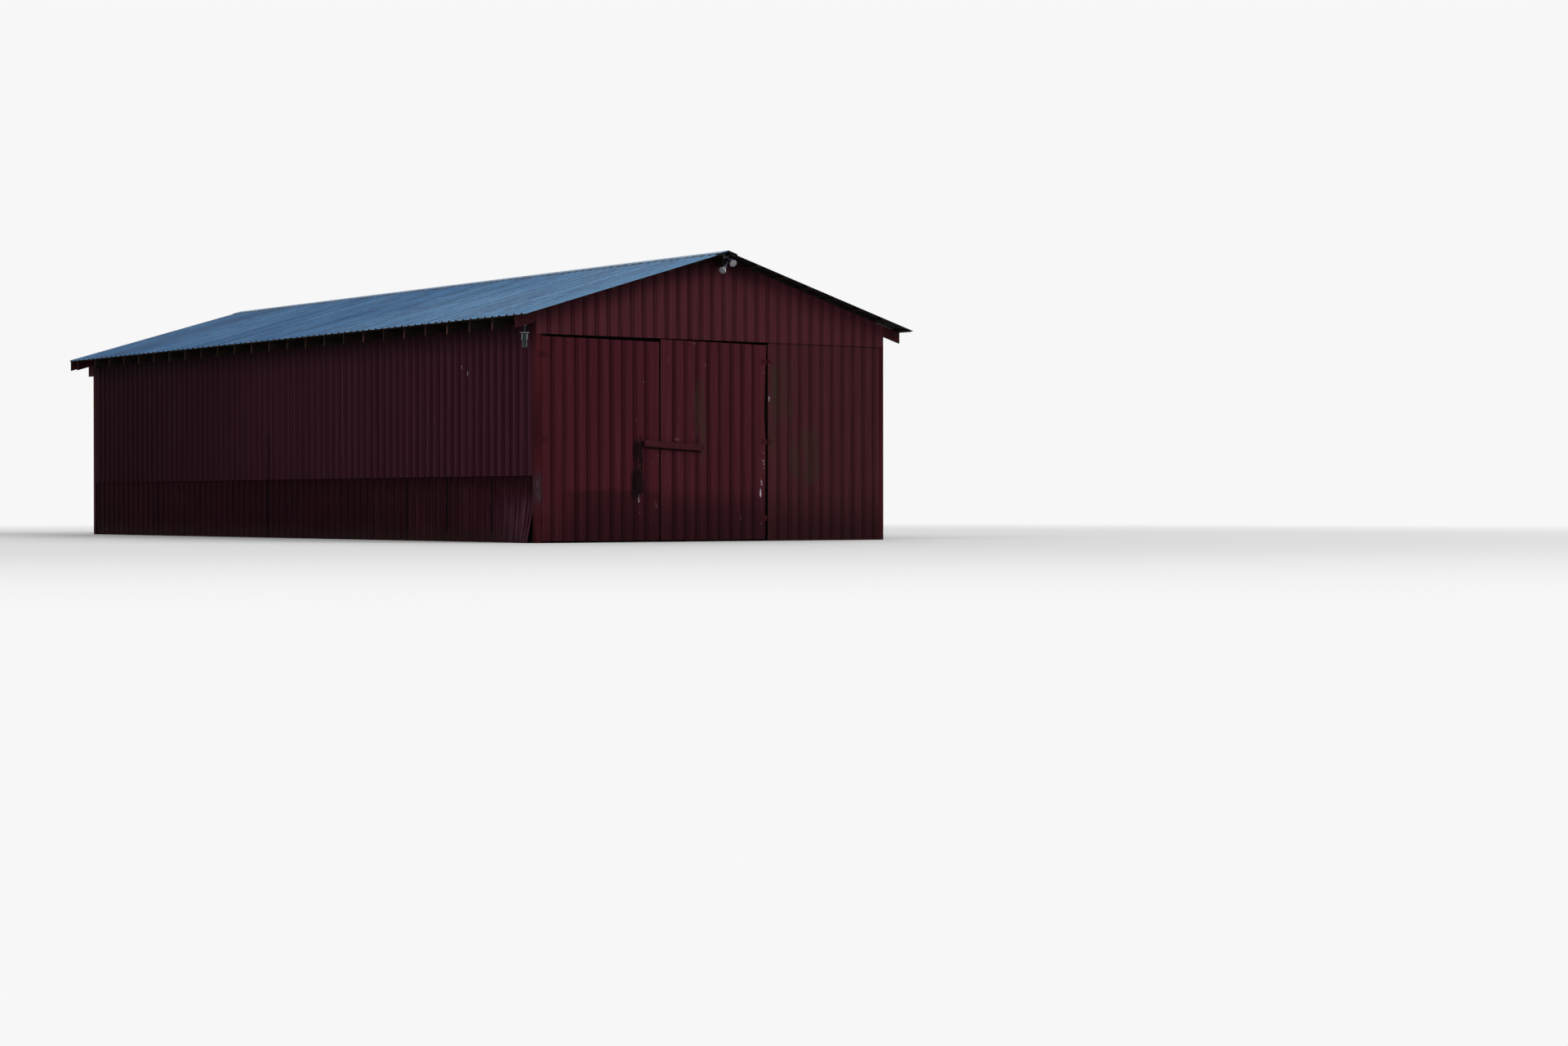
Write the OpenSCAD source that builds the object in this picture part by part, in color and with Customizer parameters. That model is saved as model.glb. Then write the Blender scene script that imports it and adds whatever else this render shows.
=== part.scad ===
// Gable-fronted post-frame barn clad in ribbed sheet steel, with a pair of tall hinged doors.
// X runs along the front wall, the front faces -Y, Z is up from the lowest ground.
// The origin is on the ground under the middle of the roof.

/* [Walls] */
// Width over the side wall framing
barn_w = 7315; // [6400:5:8400]
// Length over the end wall framing
barn_l = 18560; // [16000:5:20000]
// Height of the lower edge of the gable sheets, which is the door head line
door_head_h = 3488; // [3440:1:3500]
// Height of the lower edge of the upper side sheets
skirt_h = 1127; // [1000:1:1160]
// Thickness of a modelled steel sheet
sheet_t = 3; // [2:0.5:4]
// Height of a rib above the flat of the sheet
rib_h = 20; // [14:1:22]
// Width of a rib at its foot
rib_base = 70; // [60:1:80]
// Width of a rib at its crest
rib_crest = 32; // [20:1:44]
// Spacing of the ribs on the long side walls
side_rib_pitch = 247; // [230:1:270]
// First rib centre from the front corner on the side walls
side_first_rib = 193; // [180:1:240]
// Spacing of the ribs on the end walls
end_rib_pitch = 236.8; // [225:0.1:250]
// First rib centre from the wall's left end on the end walls
end_first_rib = 238; // [200:1:300]
// Width of a corner trim's leg on the end walls
trim_end_w = 90; // [80:1:100]
// Width of a corner trim's leg on the side walls
trim_side_w = 110; // [90:1:120]
// Lap of the gable sheets over the sheets below them
gable_lap = 70; // [40:1:90]

/* [Roof] */
// Height of the roof sheets' lower edge above the door head line
eave_over_head = 309; // [295:1:400]
// Rise of the roof over each metre of run
roof_rise = 300; // [280:1:320]
// Reach of the roof sheets beyond the side walls
eave_out = 431; // [400:1:480]
// Reach of the rafter tails beyond the side walls
tail_out = 386; // [300:1:395]
// Reach of the roof beyond the end walls
rake_out = 358; // [340:1:420]
// Rafter depth, square to the slope
rafter_d = 184; // [170:1:200]
// Rafter thickness
rafter_t = 38; // [32:1:50]
// Spacing of the rafters
rafter_gap = 763; // [700:1:800]
// Purlin width
purlin_w = 100; // [80:1:120]
// Purlin thickness
purlin_t = 25; // [20:1:30]
// Number of purlins on each slope
purlin_n = 8; // [6:1:10]
// Width of one roof sheet
roof_sheet_w = 964; // [900:1:1000]
// Width of each wing of the ridge cap
cap_w = 190; // [150:1:220]
// Ridge board depth
ridge_d = 190; // [186:1:230]
// Ridge board thickness
ridge_t = 38; // [32:1:50]
// Reach of the ridge board beyond the end walls
ridge_out = 200; // [150:1:215]

/* [Frame] */
// Side of a square post
post_w = 140; // [120:1:160]
// Number of posts along each side
post_n = 8; // [6:1:9]
// Height of the top plate
plate_h = 140; // [120:1:160]
// Girt and header board thickness
girt_t = 38; // [34:1:42]
// Girt height
girt_h = 89; // [80:1:100]
// Thickness of the furring strips behind the upper side sheets
furring_t = 25; // [24:1:30]
// Height of the splash boards at the ground
splash_h = 184; // [150:1:200]
// Height of the header boards at the eaves
header_h = 235; // [200:1:240]
// Height of the cross tie boards
tie_h = 184; // [150:1:190]

/* [Doors] */
// Right edge of the doorway, from the middle of the front wall
door_right = 1084; // [1000:1:1180]
// Line where the two leaves meet, from the middle of the front wall
meeting_x = -1193; // [-1240:1:-1150]
// Gap between the two leaves
meeting_gap = 34; // [12:1:40]
// Gap at the hinge edges of the leaves
leaf_gap = 12; // [8:1:16]
// Gap under the leaves
sill_gap = 30; // [10:1:60]
// Head gap of the left leaf at its hinges
left_head_gap = 40; // [20:1:50]
// Drop of the left leaf's top from its hinges to its free edge
left_sag = 25; // [0:1:30]
// Head gap of the right leaf at its hinges
right_head_gap = 50; // [20:1:60]
// Rise of the right leaf's top from its hinges to its free edge
right_rise = 34; // [0:1:34]
// Thickness of the leaf frames
leaf_t = 32; // [25:1:33]
// Width of the leaf frames' boards
leaf_board = 140; // [110:1:160]
// First rib centre from the hinge edge of the left leaf
left_leaf_first_rib = 215; // [180:1:230]
// Rib spacing on the left leaf
left_leaf_rib_pitch = 233.8; // [225:0.1:240]
// Number of ribs on the left leaf
left_leaf_ribs = 9; // [7:1:9]
// First rib centre from the free edge of the right leaf
right_leaf_first_rib = 283; // [270:1:320]
// Rib spacing on the right leaf
right_leaf_rib_pitch = 239; // [230:0.1:242]
// Number of ribs on the right leaf
right_leaf_ribs = 8; // [7:1:8]
// Hinge axis in front of the wall framing
hinge_out = 20; // [19:0.5:24]
// Hinge barrel radius
barrel_r = 10; // [8:0.5:10]
// Hinge pin radius
pin_r = 6; // [4:0.5:6.5]
// Height of a hinge
hinge_h = 90; // [80:1:120]
// Width of the hinge flaps on the wall
flap_w = 60; // [40:1:70]
// Width of the hinge flaps on the leaves
leaf_flap_w = 120; // [90:1:130]
// Outward bend of the corner skirt sheet's foot
bend_out = 140; // [60:1:150]
// Length of the bar across the leaves
bar_l = 1206; // [1100:1:1300]
// Height of the bar
bar_h = 105; // [85:1:120]
// Thickness of the bar
bar_t = 38; // [30:1:45]
// Height of the bar's middle above the ground
bar_z = 1654; // [1600:1:1700]
// Fall of the bar to the right
bar_fall = 3; // [0:0.5:4]

/* [Lights] */
// Diameter of a flood lamp's face
lamp_d = 121; // [110:1:130]
// Length of a flood lamp
lamp_l = 132; // [120:1:140]
// Diameter of the flood light's arms
arm_d = 17; // [12:1:18]
// Diameter of the lantern's cap
lantern_cap_d = 158; // [140:1:170]
// Width of the lantern's upper glass
lantern_glass_d = 103; // [90:1:112]

/* [Hidden] */
$fn = 48;

// Wall planes
half_w = barn_w / 2;
half_l = barn_l / 2;
pack_t = girt_t + furring_t;
post_x = half_w - pack_t - post_w / 2;
post_y = half_l - girt_t - post_w / 2;
post_gap = 2 * post_y / (post_n - 1);
crest_out = sheet_t + rib_h;

// Roof lines: the rafters' top line falls from rafter_peak by slope for each unit of run
slope = roof_rise / 1000;
roof_a = atan(slope);
eave_h = door_head_h + eave_over_head;
crest_n = purlin_t + sheet_t + rib_h;
slope_l = (half_w + eave_out - crest_n * sin(roof_a)) / cos(roof_a);
rafter_peak = eave_h + slope_l * sin(roof_a) - crest_n * cos(roof_a);
rafter_v = rafter_d / cos(roof_a);
crest_peak = rafter_peak + crest_n / cos(roof_a);
roof_l = barn_l + 2 * rake_out;
tail_x = half_w + tail_out;
tail_s = tail_x / cos(roof_a);
function rafter_top(x) = rafter_peak - slope * abs(x);
function rafter_bottom(x) = rafter_top(x) - rafter_v;

// Eaves: the rafters' notches sit on the plates, the plates on the posts
heel_x = half_w - pack_t;
seat_x = heel_x - post_w;
seat_z = rafter_bottom(seat_x);
post_h = seat_z - plate_h;
rafter_clear = 3;
header_top = rafter_bottom(half_w - furring_t) - rafter_clear;
header_bottom = header_top - header_h;
side_sheet_top = rafter_bottom(half_w + crest_out) - 2 * rafter_clear;
ridge_top = rafter_top(ridge_t / 2);
rafter_n = floor((barn_l - 2 * rafter_t) / rafter_gap);
rake_edge = 12;
eave_uneven = 7;
eave_uneven_step = 137;
overhang_end = half_l + rake_out - rake_edge;

// Doors
door_left = -half_w + trim_end_w;
left_edge = door_left + leaf_gap;
left_free = meeting_x - meeting_gap / 2;
right_free = meeting_x + meeting_gap / 2;
right_edge = door_right - leaf_gap;
left_hinge_x = door_left + leaf_gap / 2;
right_hinge_x = door_right - leaf_gap / 2;
left_top = door_head_h - left_head_gap;
right_top = door_head_h - right_head_gap;
bar_middle = 244;
leaf_brace_share = 0.6;

// Warped hinge edge of the right leaf: height from its foot to its head as a share, gap to the jamb
right_leaf_warp = [[0, 62], [0.22, 64], [0.36, 52], [0.5, 48], [0.62, 74], [0.7, 72], [0.86, 52], [0.96, 34], [1, 26]];
right_leaf_edge = [for (w = right_leaf_warp) [door_right - w[1], sill_gap + w[0] * (right_top - sill_gap)]];
hinge_foot = 400;
hinge_head = 338;
hinge_rows = [hinge_foot, door_head_h / 2, door_head_h - hinge_head];
front_header_z = door_head_h - 6;
front_header_top = rafter_bottom(heel_x) - rafter_clear;
pin_clear = 0.1;
seat_clear = 0.3;

// Rows of girts on the sides, by the height of their lower edges
row_lap = 63;
row_head = 538;
upper_row_n = 4;
upper_row_gap = (door_head_h - row_head - skirt_h - row_lap) / (upper_row_n - 1);
skirt_girt_share = 0.62;
skirt_rows = [skirt_h * skirt_girt_share];
upper_rows = [for (i = [0 : upper_row_n - 1]) skirt_h + row_lap + i * upper_row_gap];
gable_row_low = 572;
gable_row_gap = 340;
gable_rows = [door_head_h + gable_row_low, door_head_h + gable_row_low + gable_row_gap];
stud_x = half_w / 3;

// Skirt sheets, from the front corner
skirt_start = trim_side_w + 8;
skirt_lap = 50;
skirt_first_w = 1400;
skirt_sheet_w = 775;
skirt_seam = 3;
open_seam = 18;
open_seams = [0, 2, 10, 12, 17];
skirt_bend_z = 740;
bend_levels = 7;

// Twin flood light on the front end of the ridge board: the base's place from the top of the board, then the
// places of the stem's bend, of its fork and of each lamp's face, from the front wall's plane and the peak of
// the rafters, and the turn and tilt of each beam
flood_base_t = 20;
flood_base_d = 64;
flood_base = [14, -40];
flood_bend = [60, -244, -40];
flood_fork = [114, -182, -88];
flood_elbow_d = 26;
knuckle_l = 34;
flood_right = [123, -318, -167];
flood_right_turn = 14;
flood_right_tilt = 37;
flood_left = [-91, -293, -296];
flood_left_turn = 64;
flood_left_tilt = 36;

// Lantern under the left tail of the front end rafter
lantern_x = -half_w - 212;
lantern_y = rafter_t / 2 - half_l;
lantern_low = rafter_bottom(lantern_x - 30) - 6;
lantern_wedge_w = 60;
lantern_stem_l = 88;
lantern_stem_d = 18;
lantern_cap_t = 32;
lantern_upper_h = 112;
lantern_lower_h = 118;
lantern_lower_d = 78;

steel_red = "#5b2530";
skirt_red = "#5a2a38";
roof_grey = "#7d93ad";
timber = "#8a7f70";
timber_red = "#4f222a";

// Points of the rib line from a to b along the sheet, off by the height given
function rib_line(a, b, centres, off) = concat(
    [[a, off]],
    [for (c = centres) for (p = [[-rib_base / 2, 0], [-rib_crest / 2, rib_h], [rib_crest / 2, rib_h],
        [rib_base / 2, 0]]) [c + p[0], off + p[1]]],
    [[b, off]]);

function reversed(list) = [for (i = [len(list) - 1 : -1 : 0]) list[i]];

function rib_row(first, pitch, count) = [for (i = [0 : count - 1]) first + i * pitch];

function between(list, a, b) = [for (v = list) if (v - rib_base / 2 > a && v + rib_base / 2 < b) v];

// Ribs of a long side, as distances from the middle towards the front, and ribs of an end wall
side_rib_n = floor((barn_l - side_first_rib - trim_side_w - rib_base) / side_rib_pitch) + 1;
side_ribs = reversed([for (c = rib_row(side_first_rib, side_rib_pitch, side_rib_n)) half_l - c]);
end_rib_n = floor((barn_w - end_first_rib - trim_end_w - rib_base / 2) / end_rib_pitch) + 1;
end_ribs = rib_row(end_first_rib - half_w, end_rib_pitch, end_rib_n);

// Cross section of a ribbed sheet, with its ribs towards +Y
module sheet_section(a, b, centres) {
    polygon(concat(rib_line(a, b, centres, 0), reversed(rib_line(a, b, centres, sheet_t))));
}

// Upright ribbed sheet from z0 to z1, with its back on the XZ plane and its ribs towards -Y
module cladding(a, b, centres, z0, z1) {
    translate([0, 0, z0])
        mirror([0, 1, 0])
            linear_extrude(z1 - z0)
                sheet_section(a, b, centres);
}

// Places a piece drawn for the front wall on the left side wall, its X running towards the front
module on_left(out) {
    translate([-out, 0, 0])
        rotate([0, 0, -90])
            children();
}

// Places a piece drawn for the front wall on the back wall
module on_back(out) {
    translate([0, out, 0])
        rotate([0, 0, 180])
            children();
}

// Places a piece drawn in the XY plane upright, its Y running up and its thickness towards +Y
module upright(t) {
    translate([0, t, 0])
        rotate([90, 0, 0])
            linear_extrude(t)
                children();
}

// Places a piece on the right slope: X down the slope from the peak of the rafters, Z square to it
module on_slope() {
    translate([0, 0, rafter_peak])
        rotate([0, roof_a, 0])
            children();
}

module both_sides() {
    children();
    mirror([1, 0, 0])
        children();
}

// Box given by its lowest and highest corners
module box(low, high) {
    translate(low)
        cube(high - low);
}

module left_posts() {
    color(timber)
        for (i = [0 : post_n - 1])
            translate([-post_x, -post_y + i * post_gap, post_h / 2])
                cube([post_w, post_w, post_h], center = true);
}

module right_posts() {
    mirror([1, 0, 0])
        left_posts();
}

module door_jamb_post() {
    color(timber)
        translate([door_right + post_w / 4, -post_y, post_h / 2])
            cube([post_w, post_w, post_h], center = true);
}

module back_posts() {
    color(timber)
        both_sides()
            translate([post_x / 3, post_y, post_h / 2])
                cube([post_w, post_w, post_h], center = true);
}

module wall_plates() {
    color(timber)
        both_sides()
            box([seat_x, girt_t - half_l, post_h], [heel_x, half_l - girt_t, seat_z]);
}

// Outer header boards at the eaves, left long under the back overhang
module side_headers() {
    color(timber_red)
        both_sides()
            box([heel_x, -half_l, header_bottom], [half_w - furring_t, overhang_end, header_top]);
}

module right_girts() {
    color(timber) {
        box([heel_x, -half_l, 0], [half_w - furring_t, half_l, splash_h]);
        for (z = concat(skirt_rows, upper_rows))
            box([heel_x, -half_l, z], [half_w - furring_t, half_l, z + girt_h]);
        for (z = concat(upper_rows, [side_sheet_top - girt_h]))
            box([half_w - furring_t, -half_l, z], [half_w, half_l, z + girt_h]);
    }
}

module left_girts() {
    mirror([1, 0, 0])
        right_girts();
}

module front_girts() {
    color(timber) {
        box([door_right, -half_l, 0], [heel_x, girt_t - half_l, splash_h]);
        for (z = concat(skirt_rows, upper_rows))
            box([door_right, -half_l, z], [heel_x, girt_t - half_l, z + girt_h]);
        gable_girts();
    }
}

// Header across the wall and the short girts in the gable, on the front wall
module gable_girts() {
    box([-heel_x, -half_l, front_header_z], [heel_x, girt_t - half_l, front_header_top]);
    for (z = gable_rows) {
        reach = (rafter_peak - rafter_v - z - girt_h) / slope - rafter_clear;
        box([-reach, -half_l, z], [reach, girt_t - half_l, z + girt_h]);
    }
}

module back_girts() {
    color(timber)
        on_back(0) {
            box([-heel_x, -half_l, 0], [heel_x, girt_t - half_l, splash_h]);
            for (z = concat(skirt_rows, upper_rows))
                box([-heel_x, -half_l, z], [heel_x, girt_t - half_l, z + girt_h]);
            gable_girts();
        }
}

module cross_ties() {
    color(timber)
        for (i = [0 : post_n - 1]) {
            y = -post_y + i * post_gap;
            near = i < post_n / 2 ? y + post_w / 2 : y - post_w / 2 - rafter_t;
            box([-heel_x, near, post_h - tie_h], [heel_x, near + rafter_t, post_h]);
        }
}

// Studs behind the gable girts, carried up to the end rafters and the ridge board
module gable_studs() {
    color(timber)
        for (turn = [0, 180])
            rotate([0, 0, turn]) {
                inner = girt_t - half_l;
                box([-girt_h / 2, inner, post_h], [girt_h / 2, inner + girt_t, ridge_top - ridge_d]);
                both_sides()
                    box([stud_x - girt_h / 2, inner, post_h],
                        [stud_x + girt_h / 2, inner + girt_t, rafter_bottom(stud_x) + girt_h / 2]);
            }
}

// Outline of one rafter from the ridge board to the tip of its tail
module rafter_shape(notched) {
    difference() {
        polygon([[ridge_t / 2, rafter_top(ridge_t / 2)], [tail_x, rafter_top(tail_x)],
            [tail_x, rafter_bottom(tail_x)], [ridge_t / 2, rafter_bottom(ridge_t / 2)]]);
        if (notched)
            polygon([[seat_x, seat_z], [heel_x, seat_z], [heel_x, seat_z - rafter_v], [seat_x, seat_z - rafter_v]]);
    }
}

module rafter(y, notched) {
    translate([0, y, 0])
        upright(rafter_t)
            rafter_shape(notched);
}

module right_rafters() {
    color(timber)
        for (i = [1 : rafter_n - 1])
            rafter(-half_l + i * rafter_gap, true);
}

module left_rafters() {
    mirror([1, 0, 0])
        right_rafters();
}

module front_end_rafters() {
    color(timber_red)
        both_sides()
            rafter(-half_l, false);
}

module back_end_rafters() {
    color(timber_red)
        both_sides()
            rafter(half_l - rafter_t, false);
}

// Pair of rafters that hangs under the back edge of the roof
module back_fly_rafters() {
    color(timber_red)
        both_sides()
            rafter(overhang_end - rafter_t, false);
}

module ridge_board() {
    color(timber)
        box([-ridge_t / 2, -half_l - ridge_out, ridge_top - ridge_d], [ridge_t / 2, half_l + ridge_out, ridge_top]);
}

module right_purlins() {
    first_s = 60;
    step_s = (tail_s - purlin_w - first_s) / (purlin_n - 1);
    color(timber)
        on_slope()
            for (i = [0 : purlin_n - 1])
                box([first_s + i * step_s, -overhang_end, 0],
                    [first_s + i * step_s + purlin_w, overhang_end, purlin_t]);
}

module left_purlins() {
    mirror([1, 0, 0])
        right_purlins();
}

// Roof sheets, each four ribs wide, with slightly uneven lower ends
module right_roof_sheets() {
    count = round(roof_l / roof_sheet_w);
    width = roof_l / count;
    pitch = width / 4;
    top_s = 12;
    color(roof_grey)
        on_slope()
            translate([top_s, 0, purlin_t])
                rotate([90, 0, 90])
                    for (i = [0 : count - 1]) {
                        start = -roof_l / 2 + i * width;
                        uneven = i == 0 || i == count - 1 ? 0 : eave_uneven * (1 + sin(i * eave_uneven_step));
                        linear_extrude(slope_l - top_s - uneven)
                            sheet_section(start, start + width, rib_row(start + pitch / 2, pitch, 4));
                    }
}

module left_roof_sheets() {
    mirror([1, 0, 0])
        right_roof_sheets();
}

// Cap over the ridge, resting on the crests of the ribs
module ridge_cap() {
    wing = cap_w * cos(roof_a);
    color(roof_grey)
        translate([0, -roof_l / 2, seat_clear])
            upright(roof_l)
                polygon([[-wing, crest_peak - slope * wing], [0, crest_peak], [wing, crest_peak - slope * wing],
                    [wing, crest_peak - slope * wing + sheet_t], [0, crest_peak + sheet_t],
                    [-wing, crest_peak - slope * wing + sheet_t]]);
}

module left_upper_sheets() {
    color(steel_red)
        on_left(half_w)
            cladding(-half_l, half_l, side_ribs, skirt_h, side_sheet_top);
}

module right_upper_sheets() {
    mirror([1, 0, 0])
        left_upper_sheets();
}

// One skirt sheet of the left wall between two distances from the front corner
module skirt_sheet(from_front, to_front, ribs) {
    pitch = (to_front - from_front) / ribs;
    centres = rib_row(half_l - to_front + pitch / 2, pitch, ribs);
    on_left(half_w - furring_t)
        cladding(half_l - to_front, half_l - from_front, centres, 0, skirt_h + skirt_lap);
}

// Outward bend of the corner sheet at a height, by the share of its length towards the front
function bend(share, z) = z < skirt_bend_z ? bend_out * pow(share, 1.5) * pow(1 - z / skirt_bend_z, 1.3) : 0;

// Skirt sheet at the front left corner, its foot bent outwards more and more towards the corner
module bent_skirt_sheet() {
    ribs = 6;
    pitch = skirt_first_w / ribs;
    right = half_l - skirt_start;
    left = right - skirt_first_w;
    centres = rib_row(left + pitch / 2, pitch, ribs);
    ring = concat(rib_line(left, right, centres, 0), reversed(rib_line(left, right, centres, sheet_t)));
    n = len(ring);
    heights = [for (i = [0 : bend_levels]) i < bend_levels ? i * skirt_bend_z / (bend_levels - 1) : skirt_h + skirt_lap];
    points = [for (z = heights) for (p = ring) [p[0], -p[1] - bend((p[0] - left) / skirt_first_w, z), z]];
    foot = [for (i = [0 : n / 2 - 2]) for (face = [[i, n - 1 - i, n - 2 - i], [i, n - 2 - i, i + 1]]) face];
    head = [for (face = foot) [for (i = [2 : -1 : 0]) face[i] + bend_levels * n]];
    sides = [for (row = [0 : bend_levels - 1]) for (i = [0 : n - 1])
        let (a = row * n + i, b = row * n + (i + 1) % n)
        for (face = [[a, b, b + n], [a, b + n, a + n]]) face];
    color(skirt_red)
        on_left(half_w - furring_t)
            polyhedron(points, concat(foot, head, sides));
}

module skirt_row() {
    start = skirt_start + skirt_first_w;
    count = round((barn_l - skirt_start - start) / skirt_sheet_w);
    width = (barn_l - skirt_start - start) / count;
    for (i = [0 : count - 1]) {
        seam = len(search(i, open_seams)) > 0 ? open_seam : skirt_seam;
        skirt_sheet(start + i * width + seam, start + (i + 1) * width, 3);
    }
}

module left_skirt_sheets() {
    color(skirt_red)
        skirt_row();
}

module right_skirt_sheets() {
    color(skirt_red)
        mirror([1, 0, 0]) {
            skirt_row();
            skirt_sheet(skirt_start, skirt_start + skirt_first_w, 6);
        }
}

module front_bay_sheets() {
    color(steel_red)
        translate([0, -half_l, 0])
            cladding(door_right, half_w, between(end_ribs, door_right, half_w), 0, door_head_h + gable_lap);
}

// Gable sheets of the front wall, cut to the roof line and round the ridge board
module gable_sheets(half_span) {
    cut = 4;
    top = rafter_peak - cut;
    intersection() {
        translate([0, -half_l - sheet_t, 0])
            cladding(-half_span, half_span, between(end_ribs, -half_span, half_span), door_head_h, rafter_peak);
        difference() {
            translate([0, -half_l - 2 * crest_out, 0])
                upright(2 * crest_out)
                    polygon([[-half_span, door_head_h], [half_span, door_head_h],
                        [half_span, top - slope * half_span], [0, top], [-half_span, top - slope * half_span]]);
            box([-ridge_t / 2 - cut, -half_l - 3 * crest_out, ridge_top - ridge_d - cut],
                [ridge_t / 2 + cut, -half_l, rafter_peak]);
        }
    }
}

module front_gable_sheets() {
    color(steel_red)
        gable_sheets(half_w);
}

module back_wall_sheets() {
    color(steel_red)
        on_back(0)
            difference() {
                translate([0, -half_l, 0])
                    cladding(-half_w, half_w, end_ribs, 0, door_head_h + gable_lap);
                both_sides()
                    header_cut();
            }
}

// Room left at the back corners for the header boards
module header_cut() {
    box([heel_x - 4, -half_l - 2 * crest_out, header_bottom - 4], [half_w + 1, 1 - half_l, crest_peak]);
}

module back_gable_sheets() {
    color(steel_red)
        on_back(0)
            gable_sheets(heel_x - 4);
}

// Angle trim of the front left corner up to a height, its end leg as tall as end_top
module corner_trim(top, end_top) {
    inner = half_w + sheet_t;
    front = -half_l - sheet_t;
    box([-inner - sheet_t, front - sheet_t, 0], [-inner, trim_side_w - half_l, top]);
    box([-inner, front - sheet_t, 0], [-half_w + trim_end_w, front, end_top]);
}

module corner_trims() {
    color(steel_red) {
        both_sides()
            corner_trim(side_sheet_top, door_head_h - 2);
        mirror([0, 1, 0])
            both_sides()
                corner_trim(header_bottom - 4, header_bottom - 4);
    }
}

// Fixed half of one left hinge, with its pin, around the axis; back is its seat behind the axis
module hinge_fixed(back) {
    knuckle = hinge_h / 3;
    side = barrel_r + 1;
    for (z = [-hinge_h / 2, hinge_h / 2 - knuckle])
        translate([0, 0, z]) {
            cylinder(r = barrel_r, h = knuckle - 1);
            box([-side, 0, 0], [-pin_r, back, knuckle - 1]);
        }
    box([-side - flap_w, back - 4, -hinge_h / 2], [-side, back, hinge_h / 2 - 1]);
    translate([0, 0, -hinge_h / 2])
        cylinder(r = pin_r, h = hinge_h - 1);
}

// Moving half of one left hinge around the axis
module hinge_moving(back) {
    knuckle = hinge_h / 3;
    side = barrel_r + 1;
    difference() {
        union() {
            translate([0, 0, -knuckle / 2])
                cylinder(r = barrel_r, h = knuckle - 1);
            box([0, 0, -knuckle / 2], [side + 1, back, knuckle / 2 - 1]);
            box([side, back - 4, -hinge_h / 2], [side + leaf_flap_w, back, hinge_h / 2 - 1]);
        }
        translate([0, 0, -hinge_h])
            cylinder(r = pin_r + pin_clear, h = 2 * hinge_h);
    }
}

module jamb_hinge_flaps() {
    color(steel_red)
        for (z = hinge_rows) {
            translate([left_hinge_x, -half_l - hinge_out, z])
                hinge_fixed(hinge_out - 2 * sheet_t);
            translate([right_hinge_x, -half_l - hinge_out, z])
                mirror([1, 0, 0])
                    hinge_fixed(hinge_out - sheet_t);
        }
}

module left_leaf_flaps() {
    color(steel_red)
        for (z = hinge_rows)
            translate([left_hinge_x, -half_l - hinge_out, z])
                hinge_moving(hinge_out - sheet_t);
}

module right_leaf_flaps() {
    color(steel_red)
        for (z = hinge_rows)
            translate([right_hinge_x, -half_l - hinge_out, z])
                mirror([1, 0, 0])
                    hinge_moving(hinge_out - sheet_t);
}

// Outline of a leaf between x0 and x1, with the top running from z_a to z_b; edge holds its right edge's points
function leaf_outline(x0, x1, z_a, z_b, edge) = concat([[x0, z_a], [x0, sill_gap]],
    len(edge) > 0 ? edge : [[x1, sill_gap], [x1, z_b]]);

// Braced board frame behind a leaf's sheets
module leaf_frame(x0, x1, z_a, z_b, edge) {
    rows = 3;
    bay_w = (x1 - x0 - 3 * leaf_board) / 2;
    bay_h = (min(z_a, z_b) - sill_gap - (rows + 1) * leaf_board) / rows;
    brace_a = atan(bay_h / bay_w);
    brace_l = norm([bay_w, bay_h]) + leaf_board;
    brace_w = leaf_brace_share * leaf_board;
    translate([0, -half_l, 0])
        upright(leaf_t)
            difference() {
                polygon(leaf_outline(x0, x1, z_a, z_b, edge));
                for (col = [0, 1])
                    for (row = [0 : rows - 1])
                        translate([x0 + leaf_board + col * (bay_w + leaf_board),
                            sill_gap + leaf_board + row * (bay_h + leaf_board)])
                            difference() {
                                square([bay_w, bay_h]);
                                translate([bay_w / 2, bay_h / 2])
                                    rotate(col == 0 ? brace_a : -brace_a)
                                        square([brace_l, brace_w], center = true);
                            }
            }
}

// Ribbed sheets of a leaf, cut to its outline
module leaf_sheets(x0, x1, z_a, z_b, centres, edge) {
    tall = max(z_a, z_b);
    intersection() {
        translate([0, -half_l, 0])
            cladding(x0, x1, centres, sill_gap, tall);
        translate([0, -half_l - 2 * crest_out, 0])
            upright(3 * crest_out)
                polygon(leaf_outline(x0, x1, z_a, z_b, edge));
    }
}

module left_leaf_frame() {
    color(timber)
        leaf_frame(left_edge, left_free, left_top, left_top - left_sag, []);
}

module left_leaf_sheets() {
    color(steel_red)
        leaf_sheets(left_edge, left_free, left_top, left_top - left_sag,
            rib_row(left_edge + left_leaf_first_rib, left_leaf_rib_pitch, left_leaf_ribs), []);
}

module right_leaf_frame() {
    color(timber)
        leaf_frame(right_free, right_edge, right_top + right_rise, right_top, right_leaf_edge);
}

module right_leaf_sheets() {
    color(steel_red)
        leaf_sheets(right_free, right_edge, right_top + right_rise, right_top,
            rib_row(right_free + right_leaf_first_rib, right_leaf_rib_pitch, right_leaf_ribs), right_leaf_edge);
}

// Bar bolted across the ribs of the right leaf on packers, lapping in front of the left leaf
module door_bar() {
    packer_t = 6;
    sunk = 2;
    color(timber_red)
        translate([right_free + bar_middle, -half_l - crest_out, bar_z])
            rotate([0, bar_fall, 0]) {
                box([-bar_l / 2, -packer_t - bar_t, -bar_h / 2], [bar_l / 2, -packer_t, bar_h / 2]);
                for (i = [0, 2]) {
                    rib_x = (right_leaf_first_rib - bar_middle + i * right_leaf_rib_pitch) / cos(bar_fall);
                    box([rib_x - rib_crest / 2, -packer_t - sunk, -bar_h / 3], [rib_x + rib_crest / 2, 0, bar_h / 3]);
                }
            }
}

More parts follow.
